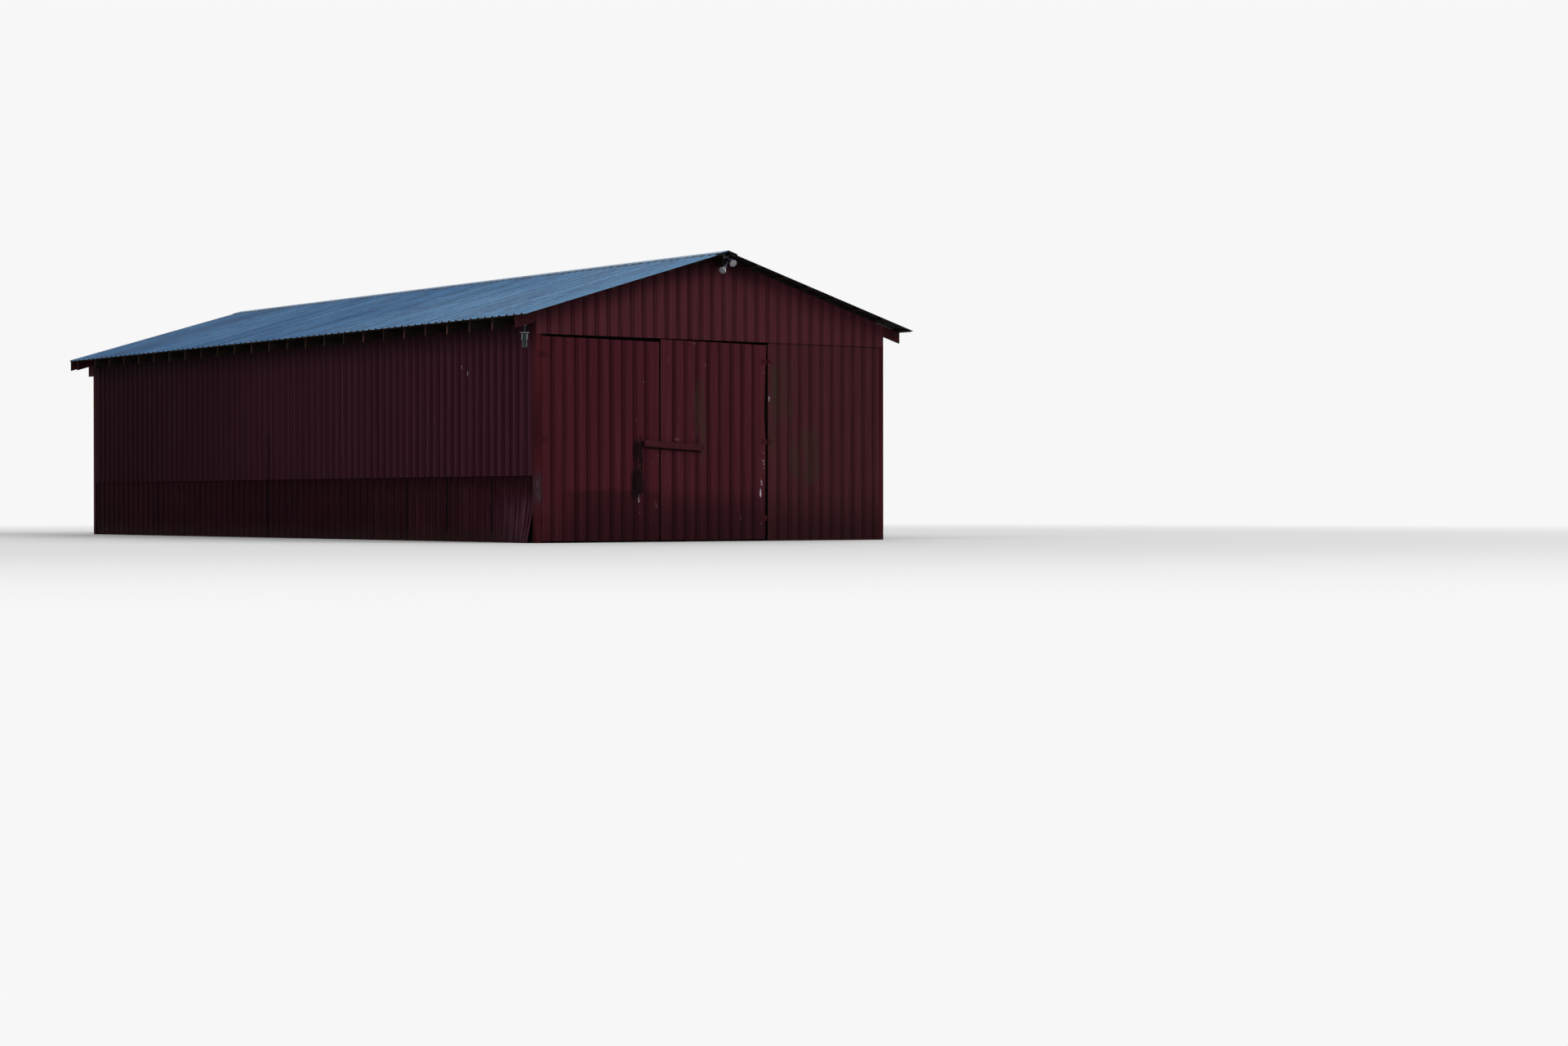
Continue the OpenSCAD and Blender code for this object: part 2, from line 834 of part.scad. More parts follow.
// Turns a piece that points down so that it looks out of the front wall, turned to the left and tilted down
module aimed(face, turn, tilt) {
    translate(flood_place(face))
        rotate([0, 0, -turn])
            rotate([tilt - 90, 0, 0])
                children();
}

function flood_place(from_peak) = from_peak + [0, -half_l, rafter_peak];

// Way from a lamp's face back to its holder
function lamp_back(turn, tilt) = [sin(turn) * cos(tilt), cos(turn) * cos(tilt), sin(tilt)];

// Round bar from one point to another
module rod(from, to, d) {
    way = to - from;
    translate(from)
        rotate([0, acos(way[2] / norm(way)), atan2(way[1], way[0])])
            cylinder(d = d, h = norm(way));
}

// Branch from the fork to a lamp's knuckle, and the knuckle
module flood_arm(face, turn, tilt) {
    joint = flood_place(face) + (lamp_l + knuckle_l - arm_d / 2 - 2) * lamp_back(turn, tilt);
    rod(flood_place(flood_fork), joint, arm_d);
    aimed(face, turn, tilt)
        translate([0, 0, lamp_l])
            cylinder(d = 2 * arm_d, h = knuckle_l);
}

module flood_light_arms() {
    base_front = -half_l - ridge_out - flood_base_t;
    base_z = ridge_top + flood_base[1];
    color("silver") {
        translate([flood_base[0], base_front, base_z])
            rotate([-90, 0, 0])
                cylinder(d = flood_base_d, h = flood_base_t);
        rod([flood_base[0], base_front + flood_base_t / 2, base_z], flood_place(flood_bend), arm_d);
        rod(flood_place(flood_bend), flood_place(flood_fork), arm_d);
        for (elbow = [flood_bend, flood_fork])
            translate(flood_place(elbow))
                sphere(d = flood_elbow_d);
        flood_arm(flood_right, flood_right_turn, flood_right_tilt);
        flood_arm(flood_left, flood_left_turn, flood_left_tilt);
    }
}

// One lamp, the middle of its face at the origin and its holder above
module flood_lamp() {
    face_r = lamp_d / 2;
    holder_r = 28;
    rotate_extrude()
        polygon([[0, 0], [face_r - 10, 4], [face_r, 14], [face_r, 22], [holder_r + 2, 78], [holder_r, 80],
            [holder_r, lamp_l], [0, lamp_l]]);
}

module flood_lamps() {
    color("whitesmoke") {
        aimed(flood_right, flood_right_turn, flood_right_tilt)
            flood_lamp();
        aimed(flood_left, flood_left_turn, flood_left_tilt)
            flood_lamp();
    }
}

// Wedge under the rafter, stem and cap of the lantern
module lantern_fitting() {
    left = lantern_x - lantern_wedge_w / 2;
    right = lantern_x + lantern_wedge_w / 2;
    stem_r = lantern_stem_d / 2;
    cap_r = lantern_cap_d / 2;
    cap_z = -lantern_stem_l - lantern_cap_t;
    color("gray") {
        translate([0, lantern_y - rafter_t / 2, 0])
            upright(rafter_t)
                polygon([[left, rafter_bottom(left)], [right, rafter_bottom(right)], [right, lantern_low],
                    [left, lantern_low]]);
        translate([lantern_x, lantern_y, lantern_low])
            rotate_extrude()
                polygon([[0, 1], [stem_r, 1], [stem_r, -lantern_stem_l], [2 * stem_r, -lantern_stem_l - 4],
                    [cap_r, cap_z + 10], [cap_r, cap_z], [0, cap_z]]);
    }
}

module lantern_glass() {
    upper_r = lantern_glass_d / 2;
    lower_r = lantern_lower_d / 2;
    lower_z = -lantern_upper_h - lantern_lower_h;
    color("whitesmoke")
        translate([lantern_x, lantern_y, lantern_low - lantern_stem_l - lantern_cap_t])
            rotate_extrude()
                polygon([[0, 0], [upper_r, 0], [upper_r, -lantern_upper_h], [lower_r, -lantern_upper_h - 10],
                    [lower_r, lower_z], [lower_r - 9, lower_z - 10], [0, lower_z - 10]]);
}

left_posts();
right_posts();
door_jamb_post();
back_posts();
wall_plates();
side_headers();
left_girts();
right_girts();
front_girts();
back_girts();
cross_ties();
gable_studs();
left_rafters();
right_rafters();
front_end_rafters();
back_end_rafters();
back_fly_rafters();
ridge_board();
left_purlins();
right_purlins();
left_roof_sheets();
right_roof_sheets();
ridge_cap();
left_upper_sheets();
left_skirt_sheets();
bent_skirt_sheet();
right_upper_sheets();
right_skirt_sheets();
front_bay_sheets();
front_gable_sheets();
back_wall_sheets();
back_gable_sheets();
corner_trims();
jamb_hinge_flaps();
left_leaf_frame();
left_leaf_sheets();
left_leaf_flaps();
right_leaf_frame();
right_leaf_sheets();
right_leaf_flaps();
door_bar();
flood_light_arms();
flood_lamps();
lantern_fitting();
lantern_glass();
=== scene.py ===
# %% [markdown]
# The barn comes from its solid model as a fixed frame: every post, sheet and door leaf is already in
# place, in metres. Nothing here moves those pieces. This lesson gives each of them a finish and adds
# the small things that a solid model leaves out, such as screws and the laps of the sheets.

# %% Load the frame
import math

import bpy
import numpy as np
from mathutils import Matrix, Vector


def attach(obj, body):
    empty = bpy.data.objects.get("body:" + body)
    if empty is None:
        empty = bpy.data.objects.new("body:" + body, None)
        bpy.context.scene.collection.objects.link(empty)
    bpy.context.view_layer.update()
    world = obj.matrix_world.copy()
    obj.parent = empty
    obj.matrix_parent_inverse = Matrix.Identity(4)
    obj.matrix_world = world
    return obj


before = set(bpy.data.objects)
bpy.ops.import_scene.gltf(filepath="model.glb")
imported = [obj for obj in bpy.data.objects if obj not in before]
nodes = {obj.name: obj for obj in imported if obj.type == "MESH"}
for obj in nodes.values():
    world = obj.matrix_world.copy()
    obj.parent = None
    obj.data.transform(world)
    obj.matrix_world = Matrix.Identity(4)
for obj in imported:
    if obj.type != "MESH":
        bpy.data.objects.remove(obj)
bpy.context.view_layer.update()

# %% [markdown]
# The camera stands low in front of the barn's left corner, about fifty metres away, and looks along
# the ground. Blender's own rotation fields could set it, but a turn, a pitch and a roll are easier to
# read and to correct one by one. So its matrix is built from three directions: right, up and back.

# %% Camera
camera_place = Vector((-28.449, -50.149, 0.65))
camera_turn, camera_pitch, camera_roll = (math.radians(v) for v in (36.178, -0.381, -0.048))
camera_lens = 65.80


def look_directions(turn, pitch, roll):
    ahead = Vector((math.sin(turn) * math.cos(pitch), math.cos(turn) * math.cos(pitch), math.sin(pitch)))
    side = Vector((math.cos(turn), -math.sin(turn), 0))
    above = side.cross(ahead)
    right = side * math.cos(roll) + above * math.sin(roll)
    up = above * math.cos(roll) - side * math.sin(roll)
    return right, up, ahead


camera_data = bpy.data.cameras.new("camera")
camera_data.lens = camera_lens
camera_data.sensor_width = 36
camera_data.clip_start, camera_data.clip_end = 0.5, 1500
camera = bpy.data.objects.new("camera", camera_data)
bpy.context.scene.collection.objects.link(camera)
right, up, ahead = look_directions(camera_turn, camera_pitch, camera_roll)
turned = Matrix((right, up, -ahead)).transposed().to_4x4()
camera.matrix_world = Matrix.Translation(camera_place) @ turned
bpy.context.scene.camera = camera
print("camera", [round(v, 2) for v in camera.location])

# %% [markdown]
# A studio for a building is a pale floor, a white surround and light as soft as an overcast sky. A
# few broad suns do that better than lamps beside the barn, because their light is the same near and
# far. The front gets the most light, the left side about a fifth less. The surround is white for the
# camera and for mirrors, and dimmer for the light that it sends onto the barn.

# %% Studio
world = bpy.data.worlds.new("studio")
world.use_nodes = True
bpy.context.scene.world = world
bpy.context.scene.view_settings.view_transform = "Standard"
sky_light, backdrop_white = 0.42, 0.93


def shown_ray(tree):
    """1 for rays of the camera, mirrors and glass, and 0 for rays that carry light."""
    path = tree.nodes.new("ShaderNodeLightPath")
    total = path.outputs["Is Camera Ray"]
    for name in ("Is Glossy Ray", "Is Transmission Ray"):
        larger = tree.nodes.new("ShaderNodeMath")
        larger.operation = "MAXIMUM"
        tree.links.new(total, larger.inputs[0])
        tree.links.new(path.outputs[name], larger.inputs[1])
        total = larger.outputs[0]
    return total


def white_when_seen(tree, dim):
    """A strength that is dim for light and backdrop_white for what is seen."""
    strength = tree.nodes.new("ShaderNodeMapRange")
    strength.inputs["To Min"].default_value = dim
    strength.inputs["To Max"].default_value = backdrop_white
    tree.links.new(shown_ray(tree), strength.inputs["Value"])
    return strength.outputs["Result"]


background = world.node_tree.nodes["Background"]
background.inputs["Color"].default_value = (1, 1, 1, 1)
world.node_tree.links.new(white_when_seen(world.node_tree, sky_light), background.inputs["Strength"])


def broad_sun(name, way, strength, spread, colour=(1, 1, 1)):
    """A sun whose light comes from the direction given, spread over an angle in degrees."""
    data = bpy.data.lights.new(name, "SUN")
    data.energy, data.angle, data.color = strength, math.radians(spread), colour
    lamp = bpy.data.objects.new(name, data)
    lamp.rotation_euler = Vector(way).to_track_quat("Z", "Y").to_euler()
    bpy.context.scene.collection.objects.link(lamp)
    return lamp


broad_sun("key_sun", (0.45, -0.75, 0.55), 1.45, 50)
broad_sun("side_sun", (-0.85, -0.15, 0.5), 0.75, 60, (0.94, 0.97, 1))
broad_sun("back_sun", (0.5, 0.75, 0.5), 0.8, 60)

# %% [markdown]
# The floor is pale and matt near the barn, where it takes the shadow, and melts into the white of the
# surround farther out, so that no horizon line shows.

# %% Floor
floor_size, floor_light, shadow_reach, all_white = 1600, 0.6, 16, 42
bpy.ops.mesh.primitive_plane_add(size=floor_size, location=(0, 0, 0))
floor = bpy.context.object
floor.name = "floor"
floor_finish = bpy.data.materials.new("pale_floor")
floor_finish.use_nodes = True
floor_tree = floor_finish.node_tree
floor_shader = floor_tree.nodes["Principled BSDF"]
floor_shader.inputs["Base Color"].default_value = (0.8, 0.8, 0.8, 1)
floor_shader.inputs["Roughness"].default_value = 1.0
floor_shader.inputs["Specular IOR Level"].default_value = 0.0
floor_place = floor_tree.nodes.new("ShaderNodeTexCoord")
way_out = floor_tree.nodes.new("ShaderNodeVectorMath")
way_out.operation = "LENGTH"
melt = floor_tree.nodes.new("ShaderNodeMapRange")
melt.interpolation_type = "SMOOTHSTEP"
melt.inputs["From Min"].default_value, melt.inputs["From Max"].default_value = shadow_reach, all_white
glow = floor_tree.nodes.new("ShaderNodeEmission")
blend = floor_tree.nodes.new("ShaderNodeMixShader")
floor_tree.links.new(floor_place.outputs["Object"], way_out.inputs[0])
floor_tree.links.new(way_out.outputs["Value"], melt.inputs["Value"])
floor_tree.links.new(melt.outputs["Result"], blend.inputs[0])
floor_tree.links.new(white_when_seen(floor_tree, floor_light), glow.inputs["Strength"])
floor_tree.links.new(floor_shader.outputs[0], blend.inputs[1])
floor_tree.links.new(glow.outputs[0], blend.inputs[2])
floor_tree.links.new(blend.outputs[0], floor_tree.nodes["Material Output"].inputs["Surface"])
floor.data.materials.append(floor_finish)

# %% [markdown]
# Every finish here is worked out from the place on the barn, in metres, because all the pieces share
# one frame. A mask such as "below knee height" or "near the door's edge" is then a short sum. The
# class below lets node sockets take part in plain arithmetic, which keeps those sums readable.


# %% Fields
class Field:
    """A value that changes over the surface, and can be added, multiplied and made into a mask."""

    def __init__(self, finish, socket):
        self.finish, self.socket = finish, socket

    def calc(self, operation, *others):
        return self.finish.calc(operation, self, *others)

    def __add__(self, other):
        return self.calc("ADD", other)

    def __sub__(self, other):
        return self.calc("SUBTRACT", other)

    def __mul__(self, other):
        return self.calc("MULTIPLY", other)

    def __truediv__(self, other):
        return self.calc("DIVIDE", other)

    def rise(self, low, high):
        """0 below low, 1 above high, and a smooth step between. low may be the larger one."""
        node = self.finish.add("ShaderNodeMapRange", interpolation_type="SMOOTHSTEP")
        self.finish.feed(node, {"Value": self, "From Min": low, "From Max": high})
        return Field(self.finish, node.outputs["Result"])


print("fields can", [name for name in vars(Field) if not name.startswith("_")])

# %% [markdown]
# A finish is one procedural material, built node by node. Each method below adds the node of its name
# and hands its output back as a field: clouds and grain come from noise, one value per sheet or rib
# from random, and relief too fine to model from bump. A weathered surface is then a base colour with
# layers over it, each by its own mask, which is how rain and dirt really build it up.


# %% Finishes
class Finish:
    """A procedural material in the making, with the place x, y, z on the barn."""

    def __init__(self, name, roughness=0.6, metallic=0.0, specular=0.4):
        self.material = bpy.data.materials.new(name)
        self.material.use_nodes = True
        self.tree = self.material.node_tree
        self.shader = self.tree.nodes["Principled BSDF"]
        self.shader.inputs["Roughness"].default_value = roughness
        self.shader.inputs["Metallic"].default_value = metallic
        self.shader.inputs["Specular IOR Level"].default_value = specular
        coordinates = self.add("ShaderNodeTexCoord")
        self.place = Field(self, coordinates.outputs["Object"])
        self.x, self.y, self.z = self.split(self.place)
        self.facing = self.split(Field(self, coordinates.outputs["Normal"]))

    def add(self, kind, **settings):
        node = self.tree.nodes.new(kind)
        for key, value in settings.items():
            setattr(node, key, value)
        return node

    def feed(self, node, values):
        for key, value in values.items():
            if isinstance(value, Field):
                self.tree.links.new(value.socket, node.inputs[key])
            else:
                node.inputs[key].default_value = value

    def split(self, field):
        node = self.add("ShaderNodeSeparateXYZ")
        self.feed(node, {0: field})
        return [Field(self, socket) for socket in node.outputs]

    def calc(self, operation, *values):
        node = self.add("ShaderNodeMath", operation=operation)
        self.feed(node, dict(enumerate(values)))
        return Field(self, node.outputs[0])

    def noise(self, scale, stretch=(1, 1, 1), detail=3.0, rough=0.55, shift=0.0):
        """Cloudy noise from 0 to 1 about 0.5; stretch multiplies the place before the noise is read."""
        moved = self.add("ShaderNodeMapping")
        away = (shift, shift * 1.7, shift * 0.6)
        self.feed(moved, {"Vector": self.place, "Scale": stretch, "Location": away})
        node = self.add("ShaderNodeTexNoise")
        self.tree.links.new(moved.outputs[0], node.inputs["Vector"])
        self.feed(node, {"Scale": scale, "Detail": detail, "Roughness": rough})
        return Field(self, node.outputs[0])

    def random(self, step_field, seed=0.0):
        """One random value from 0 to 1 for each whole number of the field given."""
        whole = step_field.calc("FLOOR") + seed
        node = self.add("ShaderNodeTexWhiteNoise", noise_dimensions="1D")
        self.feed(node, {"W": whole})
        return Field(self, node.outputs["Value"])

    def mix(self, factor, first, second):
        """A colour between first and second; both may be colours or mixes."""
        node = self.add("ShaderNodeMix", data_type="RGBA")
        self.feed(node, {0: factor})
        for index, colour in ((6, first), (7, second)):
            if isinstance(colour, Field):
                self.tree.links.new(colour.socket, node.inputs[index])
            else:
                node.inputs[index].default_value = (*colour, 1)
        return Field(self, node.outputs[2])

    def lay(self, colour, *layers):
        """Lays tints over a colour, from the lowest up; a layer is a mask and a tint."""
        for mask, tint in layers:
            colour = self.mix(mask, colour, tint)
        return colour

    def bump(self, height, distance, strength=1.0, under=None):
        node = self.add("ShaderNodeBump")
        self.feed(node, {"Height": height, "Distance": distance, "Strength": strength})
        if under is not None:
            self.tree.links.new(under.socket, node.inputs["Normal"])
        return Field(self, node.outputs[0])

    def finish(self, colour, roughness=None, normal=None):
        self.tree.links.new(colour.socket, self.shader.inputs["Base Color"])
        if roughness is not None:
            self.tree.links.new(roughness.socket, self.shader.inputs["Roughness"])
        if normal is not None:
            self.tree.links.new(normal.socket, self.shader.inputs["Normal"])
        print("finish", self.material.name, "of", len(self.tree.nodes), "nodes")
        return self.material


def srgb(*values):
    """A colour by its screen values from 0 to 255, as the linear numbers that shaders take."""
    shares = [value / 255 for value in values]
    return tuple(v / 12.92 if v <= 10 / 255 else ((v + 0.055) / 1.055) ** 2.4 for v in shares)


print("mid grey is", round(srgb(128)[0], 3), "to a shader")

# %% [markdown]
# The walls are ribbed steel sheets, rolled with a rib every 234 to 247 millimetres and painted barn
# red long ago. Their colours are the deep maroon that the paint shows in shade, so that shade is painted
# into them. The paint's marks are all made of a few masks: the way from the nearest rib, a band, a soft
# oval, and the larger of several masks. Two more helpers tell the outside of the barn from the inside,
# where a sheet shows its grey primer.

# %% Masks for marks
maroon, maroon_worn, maroon_deep = srgb(80, 39, 45), srgb(94, 53, 60), srgb(61, 27, 34)
# The first dark serves soil and damp and also painted shade under the roof's edge, the bar and the gable lap;
# the red one, painted shade and dirt beside the ribs and under the skirt's lap; the deep one, painted shade
# towards the back of the long walls.
soot_and_shade, red_soot_and_shade, far_shade = srgb(20, 12, 14), srgb(28, 8, 12), srgb(20, 5, 9)
primer_grey = (srgb(80, 78, 78), srgb(116, 112, 110))
past_sides, past_ends = (3.60, 3.64), (9.22, 9.26)


def nearest_rib(along, first, pitch, count=1000):
    """The number of the wall's nearest rib, and the way from its middle, in metres, with a sign."""
    steps = (along - first) / pitch
    number = (steps + 0.5).calc("FLOOR").calc("MAXIMUM", 0).calc("MINIMUM", count - 1)
    return number, (steps - number) * pitch


def band(field, low, high, soft):
    """1 between two values and 0 outside, with soft edges."""
    return field.rise(low - soft, low + soft) * field.rise(high + soft, high - soft)


def spot(finish, along, centre, height, half_width, half_height):
    """A soft oval mask round a place on a wall, 1 in the middle and 0 outside."""
    across = (along - centre) / half_width
    above = (finish.z - height) / half_height
    return (across * across + above * above).rise(1.0, 0.35)


def largest(fields):
    total = fields[0]
    for field in fields[1:]:
        total = total.calc("MAXIMUM", field)
    return total


def beyond_walls(finish):
    """1 outside the walls, such as under the eaves, and 0 inside the barn."""
    x, y = finish.x.calc("ABSOLUTE"), finish.y.calc("ABSOLUTE")
    return largest([x.rise(*past_sides), y.rise(*past_ends)])


def primed_back(finish, outward, colour):
    """The unpainted back of a sheet, seen from inside the barn."""
    back = finish.mix(finish.noise(1.5, (1, 1, 0.5), detail=5.0, shift=11.0).rise(0.3, 0.7), *primer_grey)
    return finish.mix(outward.rise(-0.1, -0.3), colour, back)


print("paint colours", [tuple(round(c, 3) for c in tint) for tint in (maroon, maroon_worn, maroon_deep)])

# %% [markdown]
# Old paint is never one colour. Each sheet has its own tone, clouds and upright streaks change it, and
# fine pale hairs run down it. Painted shade and dirt lie at the feet of the ribs, so that a rib shows as
# a pair of dark lines. Soil splashes up the foot of a wall, damp rises in it, and algae leave a
# green-brown film in the shade. Every helper gives layers, which are laid over the paint later.

# %% Faded paint and dirt
painted_sheet, olive = 0.947, srgb(50, 46, 36)


def faded_paint(paint, along, tints):
    """Gives the colour of the bare paint, its clouds and its streaks."""
    cloud = paint.noise(0.9, detail=4.0)
    streaks = paint.noise(1.0, (11, 11, 0.3), detail=5.0, rough=0.6)
    hair = paint.noise(1.0, (55, 55, 0.7), detail=3.0, shift=4.0)
    sheet = paint.random(along / painted_sheet + 50, 7.0)
    tone = sheet * 0.2 + cloud * 0.35 + streaks.rise(0.28, 0.72) * 0.45 - 0.05
    colour = paint.lay(paint.mix(tone, tints[0], tints[1]), (hair.rise(0.5, 0.72) * 0.4, tints[2]))
    return colour, cloud, streaks


def foot_lines(way, feet):
    """Dirt and painted shade beside each rib; a foot is low, high, soft edge and strength, from the rib's
    middle.
    """
    return largest([band(way, *foot[:3]) * foot[3] for foot in feet])


def soiled_foot(paint, along, streaks, wet):
    """Splashed soil and rising damp; wet is the damp's height, its soft edge and where it starts."""
    splash = paint.z + (paint.noise(2.5, (1, 1, 0.3), shift=4.0) - 0.5) * 0.5
    layers = [(splash.rise(0.95, 0.0) * 0.4, soot_and_shade)]
    if wet:
        height, soft, start = wet
        damp = (paint.z + streaks * 0.15).rise(height + soft, height - soft)
        layers.append((damp * along.rise(start - 0.2, start + 0.3) * 0.4, soot_and_shade))
    return layers


def algae_films(paint, along, places):
    """A place is centre, height, half width and half height."""
    cover = paint.noise(1.0, (7, 7, 0.9), shift=2.0).rise(0.36, 0.6)
    return [(spot(paint, along, *place) * cover * 0.5, olive) for place in places]


print("a painted sheet covers", painted_sheet, "m")

# %% [markdown]
# Where water has run for years the paint has rotted in an upright strip, dark with lichen. Knocks and
# rubbing bare the steel. Noise breaks up the edge of each such place, so that it comes out ragged.

# %% Rot, scuffs and chips
bare_steel, scuffed = srgb(176, 166, 178), srgb(114, 82, 92)


def rotted_strips(paint, along, places):
    """Masks of rotted paint; a place is centre, height, half width and half height."""
    ragged = paint.noise(10.0, (1, 1, 0.35), detail=8.0, rough=0.65, shift=6.0)
    across, up = along + (ragged - 0.5) * 0.16, paint.z + (ragged - 0.5) * 0.7
    strips = []
    for centre, height, half_width, half_height in places:
        strip = band(across, centre - half_width, centre + half_width, 0.02)
        strip = strip * band(up, height - half_height, height + half_height, 0.06)
        strips.append(strip * ragged.rise(0.3, 0.42))
    return strips


def bared_steel(paint, along, scuffs, chips):
    """A place is centre, height, half width, half height and the speckle's threshold."""
    speckle = paint.noise(44.0, (1, 1, 0.45), detail=5.0, rough=0.7, shift=9.0)
    layers = []
    for places, strength, tint in ((scuffs, 0.7, scuffed), (chips, 0.85, bare_steel)):
        if places:
            ovals = [spot(paint, along, *p[:4]) * speckle.rise(p[4], p[4] + 0.03) for p in places]
            layers.append((largest(ovals) * strength, tint))
    return layers


print("a chip bares", [round(c, 2) for c in bare_steel])

# %% [markdown]
# The edge of the roof shades the top of every wall, and most of all the gable under the peak, and that
# shade is painted in. So the way down from that edge is worked out first, from the slope on an end wall
# and from the eave on a long one. Each kind of wall has marks of its own too. The gable sheets lap over
# duller ones with a painted shadow line under the lap, a painted shadow lies under the bar on the
# leaves, and painted shade darkens the long walls towards the back. The ribs' dirt and painted shade
# leave out the flat strip beside the doorway, and fade along the long walls.

# %% Marks of one wall
roof_fall, gable_line, eave_line = 0.3, 4.97, 3.72
gable_foot, door_right = 3.488, 1.084
bar_x, bar_height, bar_fall = -0.932, 1.654, math.tan(math.radians(3))


def wall_ways(paint, axis):
    """The way along a wall, the way out of it, and the way down from the roof's edge."""
    if axis == "y":
        return paint.y, paint.facing[0] * paint.x.calc("SIGN"), paint.z * -1 + eave_line
    side = paint.y.calc("SIGN") * -1
    roof_gap = paint.x.calc("ABSOLUTE") * -roof_fall - paint.z + gable_line
    return paint.x * side, paint.facing[1] * side * -1, roof_gap


# painted shade under the roof's edge, deepest under the peak and weaker on one side of the gable
def end_shade(paint, along, roof_gap, reach, strength):
    shaded = roof_gap.rise(reach, 0.0) * strength
    shaded = shaded + roof_gap.rise(0.45, 0.0) * paint.x.calc("ABSOLUTE").rise(1.3, 0.1) * 0.5
    return shaded * (along.rise(0.4, 1.6) * -0.9 + 1)


def end_marks(paint, along, roof_gap):
    # a painted shadow line under the edge of the gable sheets' lap
    lap_line = band(paint.z, gable_foot - 0.022, gable_foot - 0.001, 0.004)
    duller = paint.z.rise(gable_foot + 0.002, gable_foot - 0.002)
    shaded = end_shade(paint, along, roof_gap, 0.4, 0.45)
    return [(shaded, soot_and_shade), (lap_line * 0.7, soot_and_shade), (duller * 0.24, srgb(34, 19, 17))]


def leaf_marks(paint, along, roof_gap):
    # a painted shadow under the bar
    under_bar = paint.z + (along - bar_x) * bar_fall - bar_height
    shade = band(under_bar, -0.088, -0.045, 0.008) * band(along, bar_x - 0.588, bar_x + 0.592, 0.01)
    return [(shade * 0.75, soot_and_shade), (end_shade(paint, along, roof_gap, 0.9, 0.15), soot_and_shade)]


def side_marks(paint, along, roof_gap):
    # painted shade: darker towards the back, and under the eave
    darker = along.rise(-10.0, 8.0) * 0.52 + along.rise(-4.0, 9.5) * 0.25
    return [(darker, far_shade), (roof_gap.rise(0.55, 0.0) * 0.85, soot_and_shade)]


def end_share(paint, along):
    beside_door = along.rise(door_right + 0.126, door_right + 0.106)
    beside_door = beside_door * along.rise(door_right - 0.084, door_right - 0.044)
    front_below = paint.y.rise(9, -9) * paint.z.rise(gable_foot + 0.001, gable_foot - 0.001)
    return front_below * beside_door * -1 + 1


def side_share(paint, along):
    return along.rise(-4, 1) * -0.4 + 1


print("the bar falls", round(bar_fall, 3), "m in each metre")

# %% [markdown]
# One function lays all these parts over each other, for every ribbed wall. What differs from wall to
# wall is handed in, so that a new wall needs no new nodes, and the walls stay alike where they should.

# %% Painted steel


def painted_steel(name, axis, ribs, tints, feet, marks, share=None, wet=None, stains=(), chips=(),
                  scuffs=(), algae=()):
    paint = Finish(name, specular=0.01)
    along, outward, roof_gap = wall_ways(paint, axis)
    colour, cloud, streaks = faded_paint(paint, along, tints)
    rib, way = nearest_rib(along, *ribs)
    # painted shade and dirt at the feet of the ribs, stronger at some ribs than at others
    rib_shade_and_dirt = foot_lines(way, feet) * (paint.random(rib, 3.0) * 0.3 + 0.75) * (streaks * 0.5 + 0.7)
    if share:
        rib_shade_and_dirt = rib_shade_and_dirt * share(paint, along)
    # the crests get a painted highlight on the long walls and a little painted shade on the end walls
    crest_tint = tints[2] if axis == "y" else tints[3]
    strips = rotted_strips(paint, along, stains)
    lichen = paint.mix(paint.noise(75.0, detail=4.0).rise(0.58, 0.7), srgb(16, 11, 13), srgb(60, 48, 48))
    colour = paint.lay(
        colour, (band(way, -0.014, 0.014, 0.004) * 0.2, crest_tint), (rib_shade_and_dirt, tints[3]),
        *algae_films(paint, along, algae), *soiled_foot(paint, along, streaks, wet),
        *marks(paint, along, roof_gap), *[(strip * 0.9, lichen) for strip in strips],
        *bared_steel(paint, along, scuffs, chips))
    rough = cloud * 0.2 + streaks * 0.15 + 0.42
    for strip in strips:
        rough = rough + strip * 0.2
    waves = paint.bump(paint.noise(1.6, (1, 1, 0.7), detail=1.0, shift=3.0), 0.02, 0.4)
    grain = paint.bump(paint.noise(70.0, detail=2.0), 0.0006, 0.5, waves)
    return paint.finish(primed_back(paint, outward, colour), rough, grain)


print("layers from the lowest up: crests, dirt, algae, soil, the wall's own marks, rot, bared steel")

# %% [markdown]
# A ribbed wall is known by its first rib, the step from rib to rib, and their number, and its screws
# and laps use the same three values later. The end walls are paler than the leaves, and each of their
# ribs has a broad faint painted shade and two narrow dark feet of painted shade and dirt.

# %% Paint of the end walls
end_ribs = (-3.4195, 0.2368, 30)
end_feet = [(-0.058, 0.050, 0.014, 0.22), (-0.044, -0.022, 0.006, 0.45), (0.010, 0.036, 0.006, 0.95)]
end_paint = painted_steel(
    "end_wall_paint", "x", end_ribs, (maroon_deep, maroon, maroon_worn, red_soot_and_shade), end_feet, end_marks,
    end_share, wet=(0.75, 0.6, 1.0),
    chips=[(1.103, 3.14, 0.012, 0.07, 0.50), (1.112, 2.50, 0.013, 0.06, 0.50),
           (3.62, 0.46, 0.03, 0.11, 0.48)],
    algae=[(1.44, 2.62, 0.38, 0.66), (1.95, 1.5, 0.5, 0.6), (1.2, 2.3, 0.1, 1.0)])

# %% [markdown]
# The leaves get the most wear. The left one has an old leak beside the bar, and the right one has lost
# paint down its hinged edge, which works against the jamb. Their chips and scuffs are placed one by
# one, because random ones would miss the edges and fittings that really get knocked.

